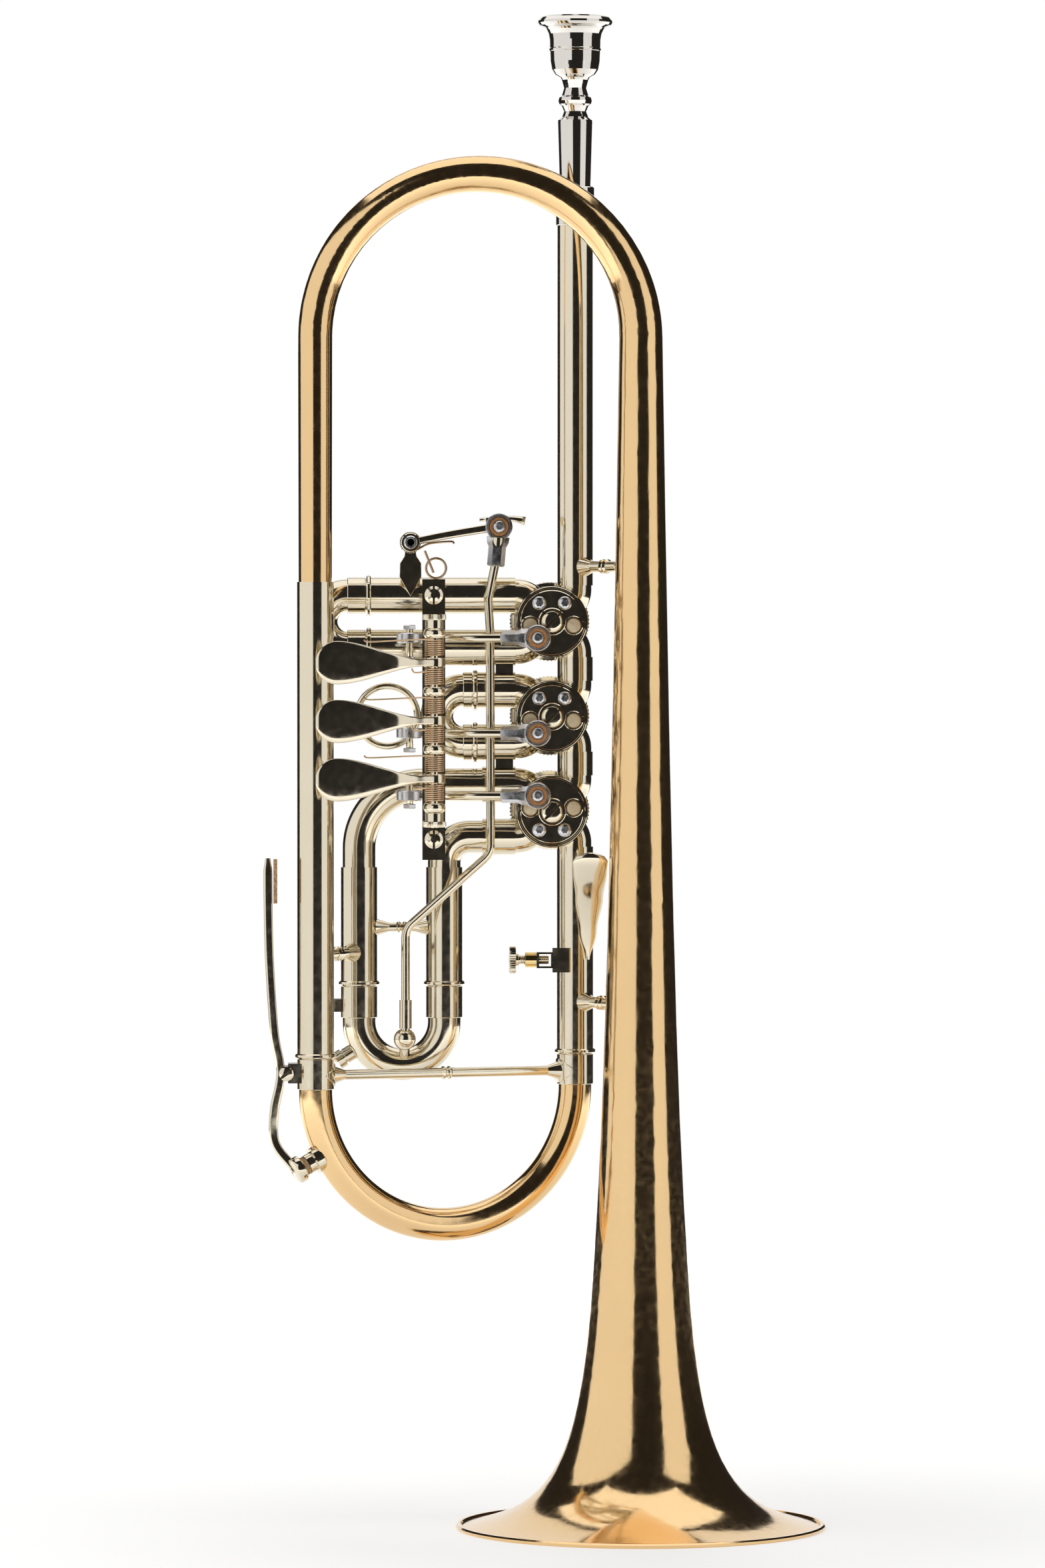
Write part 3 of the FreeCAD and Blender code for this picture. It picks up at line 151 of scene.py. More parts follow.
TARNISH = 0.96
COAT_ROUGHNESS = 0.03
CLOUD_SCALE, MARK_SCALE, WIPE_SCALE = 38.0, 420.0, 1500.0
WIPE_DEPTH = 0.0000004
POLISH = (0.7, 1.4)


def metal(name, colour, roughness, coat=0.0):
    """Polished metal: faint clouding of its colour, an uneven polish and fine wiping marks."""
    made = Shader(
        name, colour, 1.0, roughness, Coat_Weight=coat, Coat_Roughness=COAT_ROUGHNESS,
    )
    clouds = made.spread(made.noise(CLOUD_SCALE, 4.0), 0.0, 1.0)
    made.feed("Base Color", made.mixed(clouds, shade(colour, TARNISH), colour))
    marks = made.noise(MARK_SCALE, 5.0)
    made.feed("Roughness", made.spread(marks, *(roughness * factor for factor in POLISH)))
    made.bump(made.noise(WIPE_SCALE, 2.0), WIPE_DEPTH)
    return made.material


CORK, CORK_DARK, CORK_LIGHT = (0.42, 0.25, 0.12), (0.24, 0.12, 0.05), (0.55, 0.35, 0.18)


def cork():
    made = Shader("cork", CORK, 0.0, 0.85)
    grains = made.cells(1400.0)
    spread = made.spread(grains, 0, 1, 0.1, 0.7)
    made.feed("Base Color", made.mixed(spread, CORK_DARK, CORK_LIGHT))
    made.bump(grains, 0.0002, 0.6)
    return made.material


def rubber(name, light, dark):
    made = Shader(name, light, 0.0, 0.55)
    mottle = made.noise(600.0, 4.0)
    made.feed("Base Color", made.mixed(made.spread(mottle, 0, 1), dark, light))
    made.bump(made.noise(2500.0), 0.00003, 0.5)
    return made.material


BRASS = (0.88, 0.61, 0.31)
NICKEL_SILVER = (0.80, 0.72, 0.56)
SILVER = (0.76, 0.73, 0.68)
STEEL = (0.66, 0.66, 0.68)
BRONZE = (0.58, 0.42, 0.27)
YELLOW_BRASS = (0.90, 0.68, 0.30)
BUFF, BUFF_DARK = (0.78, 0.66, 0.46), (0.62, 0.48, 0.29)
TAN, TAN_DARK = (0.50, 0.24, 0.09), (0.34, 0.15, 0.05)
NICKEL = "nickel_silver"

MATERIALS = {
    "gold_brass": metal("gold_brass", BRASS, 0.12, coat=0.2),
    NICKEL: metal(NICKEL, NICKEL_SILVER, 0.11, coat=0.1),
    "silver_plate": metal("silver_plate", SILVER, 0.05),
    "steel": metal("steel", STEEL, 0.24),
    "spring_bronze": metal("spring_bronze", BRONZE, 0.22),
    "bearing_bronze": metal("bearing_bronze", shade(BRONZE, 0.9), 0.3),
    "bumper_rubber": rubber("bumper_rubber", BUFF, BUFF_DARK),
    "cork": cork(),
    "joint_liner": rubber("joint_liner", TAN, TAN_DARK),
    "yellow_brass": metal("yellow_brass", YELLOW_BRASS, 0.1),
}

# ---------------------------------------------------------------- carried-over CAD nodes

for node in NODES.values():
    for place in node.material_slots:
        slot = place.material.name.split(".")[0]
        if slot in MATERIALS:
            place.material = MATERIALS[slot]


# ---------------------------------------------------------------- mesh building, in millimetres

RIGHT, BACK, UP = Vector((1, 0, 0)), Vector((0, 1, 0)), Vector((0, 0, 1))
LEFT, FRONT, DOWN = -RIGHT, -BACK, -UP


def aim(point, forward, side=None):
    """A placement whose own Z points forward and whose own X points to the side."""
    forward = Vector(forward).normalized()
    if side is None:
        side = RIGHT if abs(forward.x) < 0.9 else BACK
    across = forward.cross(Vector(side)).normalized()
    axes = Matrix((across.cross(forward), across, forward)).transposed()
    return Matrix.Translation(Vector(point)) @ axes.to_4x4()


def skin(rings, wrap=False):
    """A closed surface over equal rings of points. Its ends join each other when it wraps."""
    count = len(rings[0])
    rows = len(rings)
    points = [point for ring in rings for point in ring]
    faces = []
    for row in range(rows if wrap else rows - 1):
        after = (row + 1) % rows
        for step in range(count):
            side = (step + 1) % count
            faces.append((
                row * count + step, row * count + side,
                after * count + side, after * count + step,
            ))
    if not wrap:
        faces.append(tuple(reversed(range(count))))
        faces.append(tuple(range((rows - 1) * count, rows * count)))
    return points, faces


def turned(profile, place, wrap=False, teeth=0, segments=56):
    """A body of revolution about the placement's own Z.

    A profile point is a radius and a height, and may add a knurl's depth.
    """
    if teeth:
        segments = teeth * 4
    rings = []
    for radius, height, *knurl in profile:
        ring = []
        for step in range(segments):
            turn = 2 * math.pi * step / segments
            reach = radius
            if knurl:
                reach -= knurl[0] * (0.5 + 0.5 * math.cos(teeth * turn))
            ring.append(place @ Vector((reach * math.cos(turn), reach * math.sin(turn), height)))
        rings.append(ring)
    return skin(rings, wrap)


def rounded(radius, low, high, edge=0.25):
    """The profile of a short cylinder with rounded edges."""
    return [
        (radius - edge, low), (radius - edge * 0.3, low + edge * 0.3), (radius, low + edge),
        (radius, high - edge), (radius - edge * 0.3, high - edge * 0.3), (radius - edge, high),
    ]


def ring_profile(inner, outer, low, high, edge=0.25):
    return [
        (inner, low), (outer - edge, low), (outer, low + edge), (outer, high - edge),
        (outer - edge, high), (inner + edge, high), (inner, high - edge),
    ]


def curve_through(points, steps=8):
    """A smooth line through points (Catmull-Rom)."""
    points = [Vector(point) for point in points]
    ends = [points[0] * 2 - points[1], *points, points[-1] * 2 - points[-2]]
    line = []
    for first, second, third, fourth in zip(ends, ends[1:], ends[2:], ends[3:]):
        for step in range(steps):
            t = step / steps
            line.append(0.5 * (
                second * 2 + (third - first) * t
                + (first * 2 - second * 5 + third * 4 - fourth) * t ** 2
                + (second * 3 - first - third * 3 + fourth) * t ** 3
            ))
    line.append(points[-1])
    return line


def strip(line, width_axis, widths, depths, crown=0.0, sides=24):
    """A rounded strip along a line, with half widths on width_axis and half depths across it."""
    rings = []
    count = len(line)
    for index, point in enumerate(line):
        ahead = line[min(index + 1, count - 1)] - line[max(index - 1, 0)]
        ahead.normalize()
        across = (width_axis - ahead * width_axis.dot(ahead)).normalized()
        normal = ahead.cross(across)
        width, depth = widths[index], depths[index]
        ring = []
        for step in range(sides):
            turn = 2 * math.pi * step / sides
            over, rise = math.cos(turn), math.sin(turn)
            over = math.copysign(abs(over) ** 0.5, over)
            rise = math.copysign(abs(rise) ** 0.55, rise)
            lift = crown * width * (1 - over ** 2)
            ring.append(point + across * (width * over) + normal * (depth * rise + lift))
        rings.append(ring)
    return skin(rings)


def wire(points, radius):
    line = curve_through(points)
    axis = BACK if abs((line[-1] - line[0]).normalized().y) < 0.9 else UP
    return strip(line, axis, [radius] * len(line), [radius] * len(line), sides=16)


def plate(outline, thickness, place, edge=0.2):
    """A flat plate with softened edges from an outline in the placement's own XY plane."""
    middle = sum((Vector((x, y, 0)) for x, y in outline), Vector()) / len(outline)
    rings = []
    for inset, height in ((edge, 0), (0, edge), (0, thickness - edge), (edge, thickness)):
        ring = []
        for x, y in outline:
            out = Vector((x, y, 0)) - middle
            shrunk = middle + out * (1 - inset / max(out.length, edge))
            ring.append(place @ (shrunk + UP * height))
        rings.append(ring)
    return skin(rings)


def block(width, length, thickness, place, edge=0.2):
    """A bar with softened edges, centred across the placement's own Z."""
    x, y = width / 2, length / 2
    return plate([(-x, -y), (x, -y), (x, y), (-x, y)], thickness, place, edge)


def prism(sides, across_flats, stations, place):
    """A bar with flat sides. A station is a height on its own Z, a width and a depth factor."""
    reach = across_flats / 2 / math.cos(math.pi / sides)
    rings = []
    for height, wide, deep in stations:
        ring = []
        for step in range(sides):
            turn = 2 * math.pi * (step + 0.5) / sides
            ring.append(place @ Vector((
                reach * wide * math.cos(turn), reach * deep * math.sin(turn), height,
            )))
        rings.append(ring)
    return skin(rings)


SLOT_DEPTH, SLOT_BEVEL = 0.7, 0.32


def screw_slot(length, width, place):
    """A screwdriver slot with bevelled lips, open along the placement's own +Z."""
    narrow, wide = width / 2, width / 2 + SLOT_BEVEL
    rings = []
    for height, half in ((-SLOT_DEPTH, narrow), (-0.22, narrow), (0.1, wide), (1.0, wide)):
        corners = (
            (-length / 2, -half), (length / 2, -half), (length / 2, half), (-length / 2, half),
        )
        rings.append([place @ Vector((x, y, height)) for x, y in corners])
    return skin(rings)


def star(radius, place, low, high):
    """A six-lobed socket."""
    rings = []
    for height in (low, high):
        ring = []
        for step in range(48):
            turn = 2 * math.pi * step / 48
            reach = radius * (0.84 + 0.16 * math.cos(6 * turn))
            ring.append(place @ Vector((reach * math.cos(turn), reach * math.sin(turn), height)))
        rings.append(ring)
    return skin(rings)


LEAF_THICKNESS = 0.5


def saddle(centre, axis, toward, radius, half_angle, half_length):
    """A pointed leaf of sheet wrapped round a tube, where a stay is soldered on."""
    axis, toward = Vector(axis).normalized(), Vector(toward)
    toward = (toward - axis * toward.dot(axis)).normalized()
    sideways = axis.cross(toward)
    rings = []
    for step in range(33):
        share = step / 16 - 1
        angle = math.radians(half_angle) * share
        reach = half_length * max(1 - abs(share) ** 1.5, 0.02)
        out = toward * math.cos(angle) + sideways * math.sin(angle)
        inner, outer = radius - 0.2, radius + LEAF_THICKNESS
        rings.append([
            centre + out * distance + axis * (reach * along)
            for distance, along in (
                (inner, -1), (outer - 0.15, -1), (outer, -0.94),
                (outer, 0.94), (outer - 0.15, 1), (inner, 1),
            )
        ])
    return skin(rings)


def mesh_object(name, shapes):
    """One object from (material, shape) pairs given in millimetres."""
    mesh = bpy.data.meshes.new(name)
    points, faces, finishes = [], [], []
    names = []
    for finish, (shape_points, shape_faces) in shapes:
        if finish not in names:
            names.append(finish)
        base = len(points)
        points += [point * MM for point in shape_points]
        faces += [tuple(base + corner for corner in face) for face in shape_faces]
        finishes += [names.index(finish)] * len(shape_faces)
    mesh.from_pydata(points, [], faces)
    for finish in names:
        mesh.materials.append(MATERIALS[finish])
    mesh.polygons.foreach_set("material_index", finishes)
    work = bmesh.new()
    work.from_mesh(mesh)
    bmesh.ops.recalc_face_normals(work, faces=work.faces)
    work.to_mesh(mesh)
    work.free()
    made = bpy.data.objects.new(name, mesh)
    bpy.context.scene.collection.objects.link(made)
    return made


def carve(made, shape):
    """Cuts a shape out of an object for good."""
    tool = mesh_object("cutter", [("steel", shape)])
    modifier = made.modifiers.new("cut", "BOOLEAN")
    modifier.operation = "DIFFERENCE"
    modifier.solver = "EXACT"
    modifier.object = tool
    graph = bpy.context.evaluated_depsgraph_get()
    carved = bpy.data.meshes.new_from_object(made.evaluated_get(graph))
    made.modifiers.clear()
    made.data = carved
    bpy.data.objects.remove(tool)


def piece(name, body, *shapes, replaces=(), cuts=()):
    """A visible piece that rides on a body and stands for the CAD nodes that it replaces."""
    made = mesh_object(name, shapes)
    for shape in cuts:
        carve(made, shape)
    made.data.polygons.foreach_set("use_smooth", [True] * len(made.data.polygons))
    made.data.set_sharp_from_angle(angle=SMOOTH_ANGLE)
    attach(made, body)
    if replaces:
        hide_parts(*replaces)
    return made


# ---------------------------------------------------------------- places from the frame, in mm

JOINTS = {joint["name"]: joint for joint in frame["joints"]}
VALVES = (1, 2, 3)


def joint_place(name):
    return Vector(JOINTS[name]["pos_m"]) / MM


def box_of(node):
    low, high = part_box(node)
    return low / MM, high / MM


AXLES = {valve: joint_place(f"paddle_{valve}_press") for valve in VALVES}
ROTORS = {valve: joint_place(f"rotor_{valve}_turn") for valve in VALVES}
BALLS = {valve: joint_place(f"link_{valve}_swing") for valve in VALVES}
CRANK = Vector((-8.6, 24.0, 0))
AXLE = AXLES[1]


def valve_place(valve):
    """A valve's own frame: X to the right, Y up and Z towards the player."""
    return aim(ROTORS[valve], FRONT, RIGHT)


# ---------------------------------------------------------------- shared sizes of the linkage

AXLE_BORE = 1.55
PIN = 1.3
LINK_RING = (3.5, 4.75)
LINK_LINER = (2.15, 3.55)
HEX = 6
HEX_FLATS = 4.4
STAR_RADIUS = 1.05
JOINT_HEAD = [(1.4, -0.1), (2.0, 0), (2.05, 0.35), (1.75, 0.75), (1.2, 0.92)]


def make_joint_screw(name, body, place, base):
    """A low screw head with a six-lobed socket, on the end of a joint's pin."""
    profile = [(radius, base + height) for radius, height in JOINT_HEAD]
    piece(
        name, body,
        ("steel", turned(profile, place)),
        cuts=[star(STAR_RADIUS, place, base + 0.3, base + 1.5)],
    )


# ---------------------------------------------------------------- levers

SPOON_PATH = [
    (0.5, 3.2), (4, 6.0), (8, 9.2), (12.5, 11.9), (20, 14.0), (30, 16.5), (38, 18.4), (41, 18.9),
    (42.6, 18.6),
]
SPOON_NECK, SPOON_HALF_WIDTH = 1.35, 7.7
SPOON_SWELL_START, SPOON_ROOT = 9.0, 3.0
SPOON_HALF_DEPTH = 0.8


def between(table, share):
    """A value between a table's rows, eased."""
    for (low, first), (high, second) in zip(table, table[1:]):
        if share <= high:
            part = (share - low) / (high - low)
            return first + (second - first) * part * part * (3 - 2 * part)
    return table[-1][1]


def spoon(axle):
    """A finger paddle: an arm that lifts off the hub, a crowned pad and a tip that curls down."""
    line = curve_through([axle + LEFT * out + FRONT * lift for out, lift in SPOON_PATH], 12)
    reach = [SPOON_ROOT]
    for first, second in zip(line, line[1:]):
        reach.append(reach[-1] + (second - first).length)
    round_start = reach[-1] - SPOON_HALF_WIDTH
    widths = []
    for distance in reach:
        swell = max(distance - SPOON_SWELL_START, 0) / (round_start - SPOON_SWELL_START)
        swell = min(swell, 1)
        width = SPOON_NECK + (SPOON_HALF_WIDTH - SPOON_NECK) * swell * swell * (3 - 2 * swell)
        if distance > round_start:
            width = math.sqrt(max(SPOON_HALF_WIDTH ** 2 - (distance - round_start) ** 2, 0.04))
        widths.append(width)
    depths = [SPOON_HALF_DEPTH * min(1.0, 0.4 + width / 3) for width in widths]
    return strip(line, UP, widths, depths, crown=-0.008, sides=64)


def make_paddle(valve):
    """A finger paddle with its hub, its crank arm and the pin that a link rod's ring turns on."""
    axle, ball = AXLES[valve], BALLS[valve]
    crank = axle + CRANK
    rise = ball.z - axle.z
    low, high = box_of(f"paddle_{valve}")
    reach = (high.z - axle.z) if rise > 0 else (axle.z - low.z)
    pin = aim(crank, UP * math.copysign(1.0, rise))
    arm = aim(axle + Vector((CRANK.x, -9.0, 0)), BACK, UP)
    hub = ring_profile(AXLE_BORE, 3.9, -1.65, 1.65, 0.3)
    nut = [(reach - 1.6, 0.92, 0.92), (reach - 1.4, 1, 1), (reach - 0.3, 1, 1), (reach, 0.85, 0.85)]
    piece(
        f"finger_paddle_{valve}", f"paddle_{valve}",
        (NICKEL, spoon(axle)),
        (NICKEL, turned(hub, aim(axle, UP), wrap=True)),
        (NICKEL, block(2.6, 2.4, 33.0, arm, 0.35)),
        (NICKEL, turned(rounded(2.6, -1.3, 1.3, 0.35), aim(crank, UP))),
        (NICKEL, turned(rounded(PIN, 0, reach - 0.8), pin)),
        ("steel", turned(rounded(2.3, 1.2, 1.9, 0.2), pin)),
        ("steel", prism(HEX, HEX_FLATS, nut, pin)),
        replaces=[f"paddle_{valve}"],
    )


def make_link(valve):
    """The rod between a rotor's stop arm and a paddle's crank, with a ring at each end.

    The ring on the stop arm is lined.
    """
    start = BALLS[valve]
    end = Vector((AXLE.x + CRANK.x, AXLE.y + CRANK.y, start.z))
    way = (end - start).normalized()
    span = (end - start).length
    front, back = aim(start, FRONT), aim(end, UP)
    along, against = aim(start, way, FRONT), aim(end, -way, FRONT)
    socket = [(3.4, 0.5, 1.35), (5.6, 0.78, 1.3), (7.2, 1, 1), (12.9, 1, 1), (13.3, 0.85, 0.85)]
    rear_socket = [
        (3.4, 1.2, 0.6), (5.4, 1.15, 0.85), (6.4, 1, 1), (11.4, 1, 1), (11.8, 0.85, 0.85),
    ]
    piece(
        f"link_rod_{valve}_visual", f"link_{valve}",
        ("steel", turned(ring_profile(*LINK_RING, -1.65, 1.65, 0.35), front, wrap=True)),
        ("joint_liner", turned(ring_profile(*LINK_LINER, -1.5, 1.35, 0.2), front, wrap=True)),
        ("steel", prism(HEX, HEX_FLATS, socket, along)),
        (NICKEL, turned(rounded(1.6, 12.6, span - 11.0, 0.1), along)),
        ("steel", prism(HEX, HEX_FLATS, rear_socket, against)),
        ("steel", turned(ring_profile(*LINK_RING, -1.85, 1.85, 0.35), back, wrap=True)),
        replaces=[f"link_rod_{valve}"],
    )


# ---------------------------------------------------------------- valve fronts

ARM_SEAT = 14.9
LUG_ANGLE, LUG_REACH = math.radians(135), 7.9
FACE_DEPTH, FACE_RADIUS = 17.0, 11.4
BUMPER_TILT, BUMPER_REACH = math.radians(10), 7.9
ROTOR_SLOT_ANGLE = math.radians(45)


def make_stop_arm(valve):
    """What turns with a rotor on its front: the collar with its lug, the link's pin and screws."""
    place = valve_place(valve)
    turn = ROTORS[valve]
    ball = BALLS[valve]
    seat = turn.y - ARM_SEAT
    direction = Vector((ball.x - turn.x, ball.z - turn.z, 0))
    side = math.copysign(1.0, direction.y)
    lug = Vector((math.cos(LUG_ANGLE), math.sin(LUG_ANGLE) * side, 0))
    web = place @ aim(UP * seat, UP, lug)
    spot = place @ Matrix.Translation(direction)
    top = turn.y - ball.y + 1.7
    stop = place @ Matrix.Translation(lug * LUG_REACH)
    piece(
        f"stop_arm_{valve}_visual", f"rotor_{valve}",
        (NICKEL, turned(ring_profile(3.85, 5.0, seat, seat + 1.95, 0.3), place, wrap=True)),
        (NICKEL, turned(rounded(4.2, seat, seat + 1.3, 0.1), place)),
        (NICKEL, block(8.2, 3.1, 1.7, web @ Matrix.Translation(RIGHT * 4.1), 0.25)),
        (NICKEL, turned(rounded(1.9, seat, seat + 1.85, 0.3), stop)),
        (NICKEL, turned(rounded(1.65, seat, seat + 4.8, 0.2), spot)),
        (NICKEL, turned(rounded(PIN, seat, top), spot)),
        replaces=[f"stop_arm_{valve}"],
    )
    make_joint_screw(f"joint_screw_{valve}", f"rotor_{valve}", spot, top)

    middle = place @ Matrix.Translation(UP * (seat + 1.9))
    head = [(3.5, -0.6), (3.7, -0.4), (3.7, 0.35), (3.4, 0.62), (2.4, 0.8), (1.0, 0.86)]
    turned_slot = middle @ Matrix.Rotation(ROTOR_SLOT_ANGLE, 4, "Z")
    piece(
        f"rotor_screw_{valve}", f"rotor_{valve}",
        (NICKEL, turned(head, middle)),
        cuts=[screw_slot(9.0, 0.75, turned_slot @ Matrix.Translation(UP * 0.8))],
    )


def make_valve_front(valve):
    """The rim, the stop plate with its two bumper seats, the bumpers and the two plate screws."""
    place = valve_place(valve)
    turn = ROTORS[valve]
    side = math.copysign(1.0, BALLS[valve].z - turn.z)
    face = turn.y - FACE_DEPTH
    outline = []
    for step in range(49):
        angle = math.pi * step / 48
        outline.append((FACE_RADIUS * math.cos(angle), -side * FACE_RADIUS * math.sin(angle)))
    rim = ring_profile(11.9, 12.75, face - 0.1, face + 0.45, 0.2)
    shapes = [
        (NICKEL, turned(rim, place, wrap=True)),
        (NICKEL, plate(outline, 1.6, place @ Matrix.Translation(UP * (face + 0.1)), 0.3)),
    ]
    bumpers = []
    seat_ring = ring_profile(2.5, 3.5, face, face + 2.0, 0.3)
    for sign in (-1, 1):
        seat = Vector((
            sign * BUMPER_REACH * math.cos(BUMPER_TILT),
            side * BUMPER_REACH * math.sin(BUMPER_TILT), 0,
        ))
        spot = place @ Matrix.Translation(seat)
        shapes.append((NICKEL, turned(seat_ring, spot, wrap=True)))
        bumpers.append(("bumper_rubber", turned(rounded(2.45, face, face + 3.85, 0.5), spot)))
    piece(f"stop_plate_{valve}", "instrument", *shapes, replaces=["stop_plates"])
    piece(f"bumpers_{valve}", "instrument", *bumpers, replaces=["stop_bumpers"])

    head = [(2.3, -0.2), (2.5, 0), (2.5, 0.3), (2.1, 0.75), (1.3, 1.05), (0.5, 1.12)]
    for number, sign in enumerate((-1, 1), start=1):
        spot = place @ Matrix.Translation(Vector((sign * 4.6, -side * 6.6, face + 1.7)))
        piece(
            f"plate_screw_{valve}_{number}", "instrument",
            ("steel", turned(head, spot)),
            replaces=["stop_plate_screws"],
            cuts=[star(1.3, spot, 0.35, 2.0)],
        )


# ---------------------------------------------------------------- axle and caps

POST_HEIGHT = 3.3
POST_BARREL = [
    (AXLE_BORE, -1.65), (3.2, -1.65), (3.65, -1.25), (3.9, -0.4),
    (3.9, 0.4), (3.65, 1.25), (3.2, 1.65), (AXLE_BORE, 1.65),
]
NUT_HEIGHT, NUT_TEETH = 5.2, 40
NUT_PROFILE = [
    (AXLE_BORE, 0), (3.0, 0), (3.15, 0.2), (3.15, 3.0), (3.3, 3.1), (4.0, 3.15),
    (4.15, 3.35, 0.22), (4.15, 4.9, 0.22), (3.9, 5.15), (AXLE_BORE, NUT_HEIGHT),
]
TAIL_RADIUS = 0.28
# Each spring has two wire ends: a height from the paddle's axle, and steps from that start.
SPRING_TAILS = [
    (8.3, [(2.4, -1.0, 0), (0, 0, 0), (-8, 4.2, -0.3), (-20.5, 8.0, -0.9), (-22.6, 8.6, -0.2)]),
    (-3.2, [(2.4, -1.0, 0), (0, 0, 0), (-4.4, 2.4, -0.4), (-5.6, 3.2, 1.0)]),
]
CAP_TEETH = 64
CAP_PROFILE = [
    (0.4, -18), (10.0, -18), (13.5, -18), (14.2, -17.7), (14.5, -17.2, 0.3), (14.5, -9.2, 0.3),
    (14.1, -8.6), (13.05, -8.4), (13.05, -16.4), (0.4, -16.4),
]


def make_axle():
    """The posts, knurled nuts and spring ends on the levers' axle."""
    low, high = box_of("axle_posts")
    levels = [
        high.z - POST_HEIGHT / 2, (AXLES[1].z + AXLES[2].z) / 2,
        (AXLES[2].z + AXLES[3].z) / 2, low.z + POST_HEIGHT / 2,
    ]
    posts = []
    for level in levels:
        spot = Vector((AXLE.x, AXLE.y, level))
        posts.append((NICKEL, turned(POST_BARREL, aim(spot, UP), wrap=True)))
        posts.append((NICKEL, block(4.4, 3.0, 4.6, aim(spot + BACK * 0.3, BACK), 0.2)))
    piece("axle_posts_visual", "instrument", *posts, replaces=["axle_posts"])

    low, high = box_of("axle_nuts")
    nuts = []
    for level, way in ((high.z - NUT_HEIGHT, UP), (low.z + NUT_HEIGHT, DOWN)):
        place = aim(Vector((AXLE.x, AXLE.y, level)), way)
        nuts.append((NICKEL, turned(NUT_PROFILE, place, wrap=True, teeth=NUT_TEETH)))
    piece("axle_nuts_visual", "instrument", *nuts, replaces=["axle_nuts"])

    tails = []
    for valve in VALVES:
        for rise, steps in SPRING_TAILS:
            start = Vector((AXLE.x - 2.6, AXLE.y - 2.2, AXLES[valve].z + rise))
            path = [start + Vector(step) for step in steps]
            tails.append(("spring_bronze", wire(path, TAIL_RADIUS)))
    piece("spring_tails", "instrument", *tails)


def make_caps():
    """The knurled caps on the backs of the valves."""
    shapes = []
    for valve in VALVES:
        place = valve_place(valve)
        shapes.append((NICKEL, turned(CAP_PROFILE, place, wrap=True, teeth=CAP_TEETH)))
        shapes.append((NICKEL, turned(rounded(7.5, -18.5, -17.9, 0.3), place)))
    piece("valve_caps_visual", "instrument", *shapes, replaces=["valve_caps"])


# ---------------------------------------------------------------- hook and lyre holder

# Tables of a share along the hook with how far it stands out, and with its half width.
HOOK_RISE = [
    (0.0, 0.0), (0.165, 0.9), (0.37, 3.7), (0.57, 8.1), (0.75, 13.0), (0.9, 16.5), (1.0, 17.6),
]
HOOK_WIDTHS = [
    (0.0, 0.4), (0.25, 3.0), (0.5, 5.0), (0.72, 6.1), (0.86, 6.3), (0.94, 5.3), (0.985, 3.2),
    (1.0, 1.2),
]
HOOK_HALF_DEPTH = 0.7
LYRE_HEAD = [
    (0.3, 0.25), (3.6, 0.15), (4.5, 0), (4.8, 0.25, 0.35), (4.8, 2.15, 0.35), (4.5, 2.4),
    (2.3, 2.5), (2.3, 3.2), (1.7, 3.4), (1.7, 3.9),
]
LYRE_TEETH = 34
THREAD_RADIUS, THREAD_ROOT, THREAD_PITCH = 1.7, 1.36, 0.68


def make_hook():
    """The little finger's hook, a curved leaf."""
    low, high = box_of("pinky_hook")
    middle = (low.x + high.x) / 2
    rise = high.z - low.z
    path = [
        Vector((middle, high.y - 0.8 - out, low.z + rise * share)) for share, out in HOOK_RISE
    ]
    line = curve_through(path, 7)
    count = len(line) - 1
    widths = [between(HOOK_WIDTHS, index / count) for index in range(count + 1)]
    depths = [HOOK_HALF_DEPTH] * (count + 1)
    piece(
        "pinky_hook_visual", "instrument",
        (NICKEL, strip(line, RIGHT, widths, depths, crown=-0.12, sides=32)),
        replaces=["pinky_hook"],
    )


def make_lyre():
    """The lyre holder's thumb screw with its thread, and the collar that it enters."""
    low, high = box_of("lyre_screw")
    middle = Vector((low.x, (low.y + high.y) / 2, (low.z + high.z) / 2))
    place = aim(middle, RIGHT)
    reach = high.x - low.x
    shank = [(THREAD_RADIUS, 3.8)]
    height = 4.0
    while height < reach - 0.6:
        shank += [
            (THREAD_RADIUS, height + 0.1), (THREAD_ROOT, height + 0.38),
            (THREAD_RADIUS, height + 0.66),
        ]
        height += THREAD_PITCH
    shank += [(1.4, reach)]
    piece(
        "lyre_thumb_screw", "lyre_screw",
        (NICKEL, turned(LYRE_HEAD, place, teeth=LYRE_TEETH)),
        (NICKEL, turned(shank, place)),
        replaces=["lyre_screw"],
    )
    holder_low = box_of("lyre_holder")[0]
    collar = aim(Vector((holder_low.x - 0.03, middle.y, middle.z)), RIGHT)
    sleeve = ring_profile(1.8, 2.78, 0, 4.1, 0.25)
    piece("lyre_collar", "instrument", ("yellow_brass", turned(sleeve, collar, wrap=True)))


# ---------------------------------------------------------------- trigger

TRIGGER_DEPTH = 23.0
ROD_RING_DEPTH, ROD_RING_REACH = 20.0, 4.75
THUMB_STEPS = [(0, 0, 1.3), (6, 0, 1.8), (12, 0, 1.7), (16.5, 0, 0.9)]
THUMB_WIDTHS = [(0, 4.6), (0.5, 6.2), (0.9, 6.0), (1, 3.8)]
POST_DEPTH = 26.6
POST_SHOULDER = [
    (-2.0, 0), (-2.0, -4.2), (-2.3, -5.0), (-3.9, -7.6), (-3.95, -12.5), (0, -19.5),
    (3.95, -12.5), (3.9, -7.6), (2.3, -5.0), (2.0, -4.2), (2.0, 0),
]
POST_KNURL = [
    (1.6, -0.2), (3.7, -0.2), (4.0, 0.0, 0.25), (4.0, 2.0, 0.25), (3.7, 2.3), (1.6, 2.3),
]
POST_SCREW = [
    (2.2, 7.2), (2.4, 7.4), (2.4, 8.0), (2.0, 8.5), (1.6, 8.5), (1.5, 8.0), (0.3, 8.0),
]
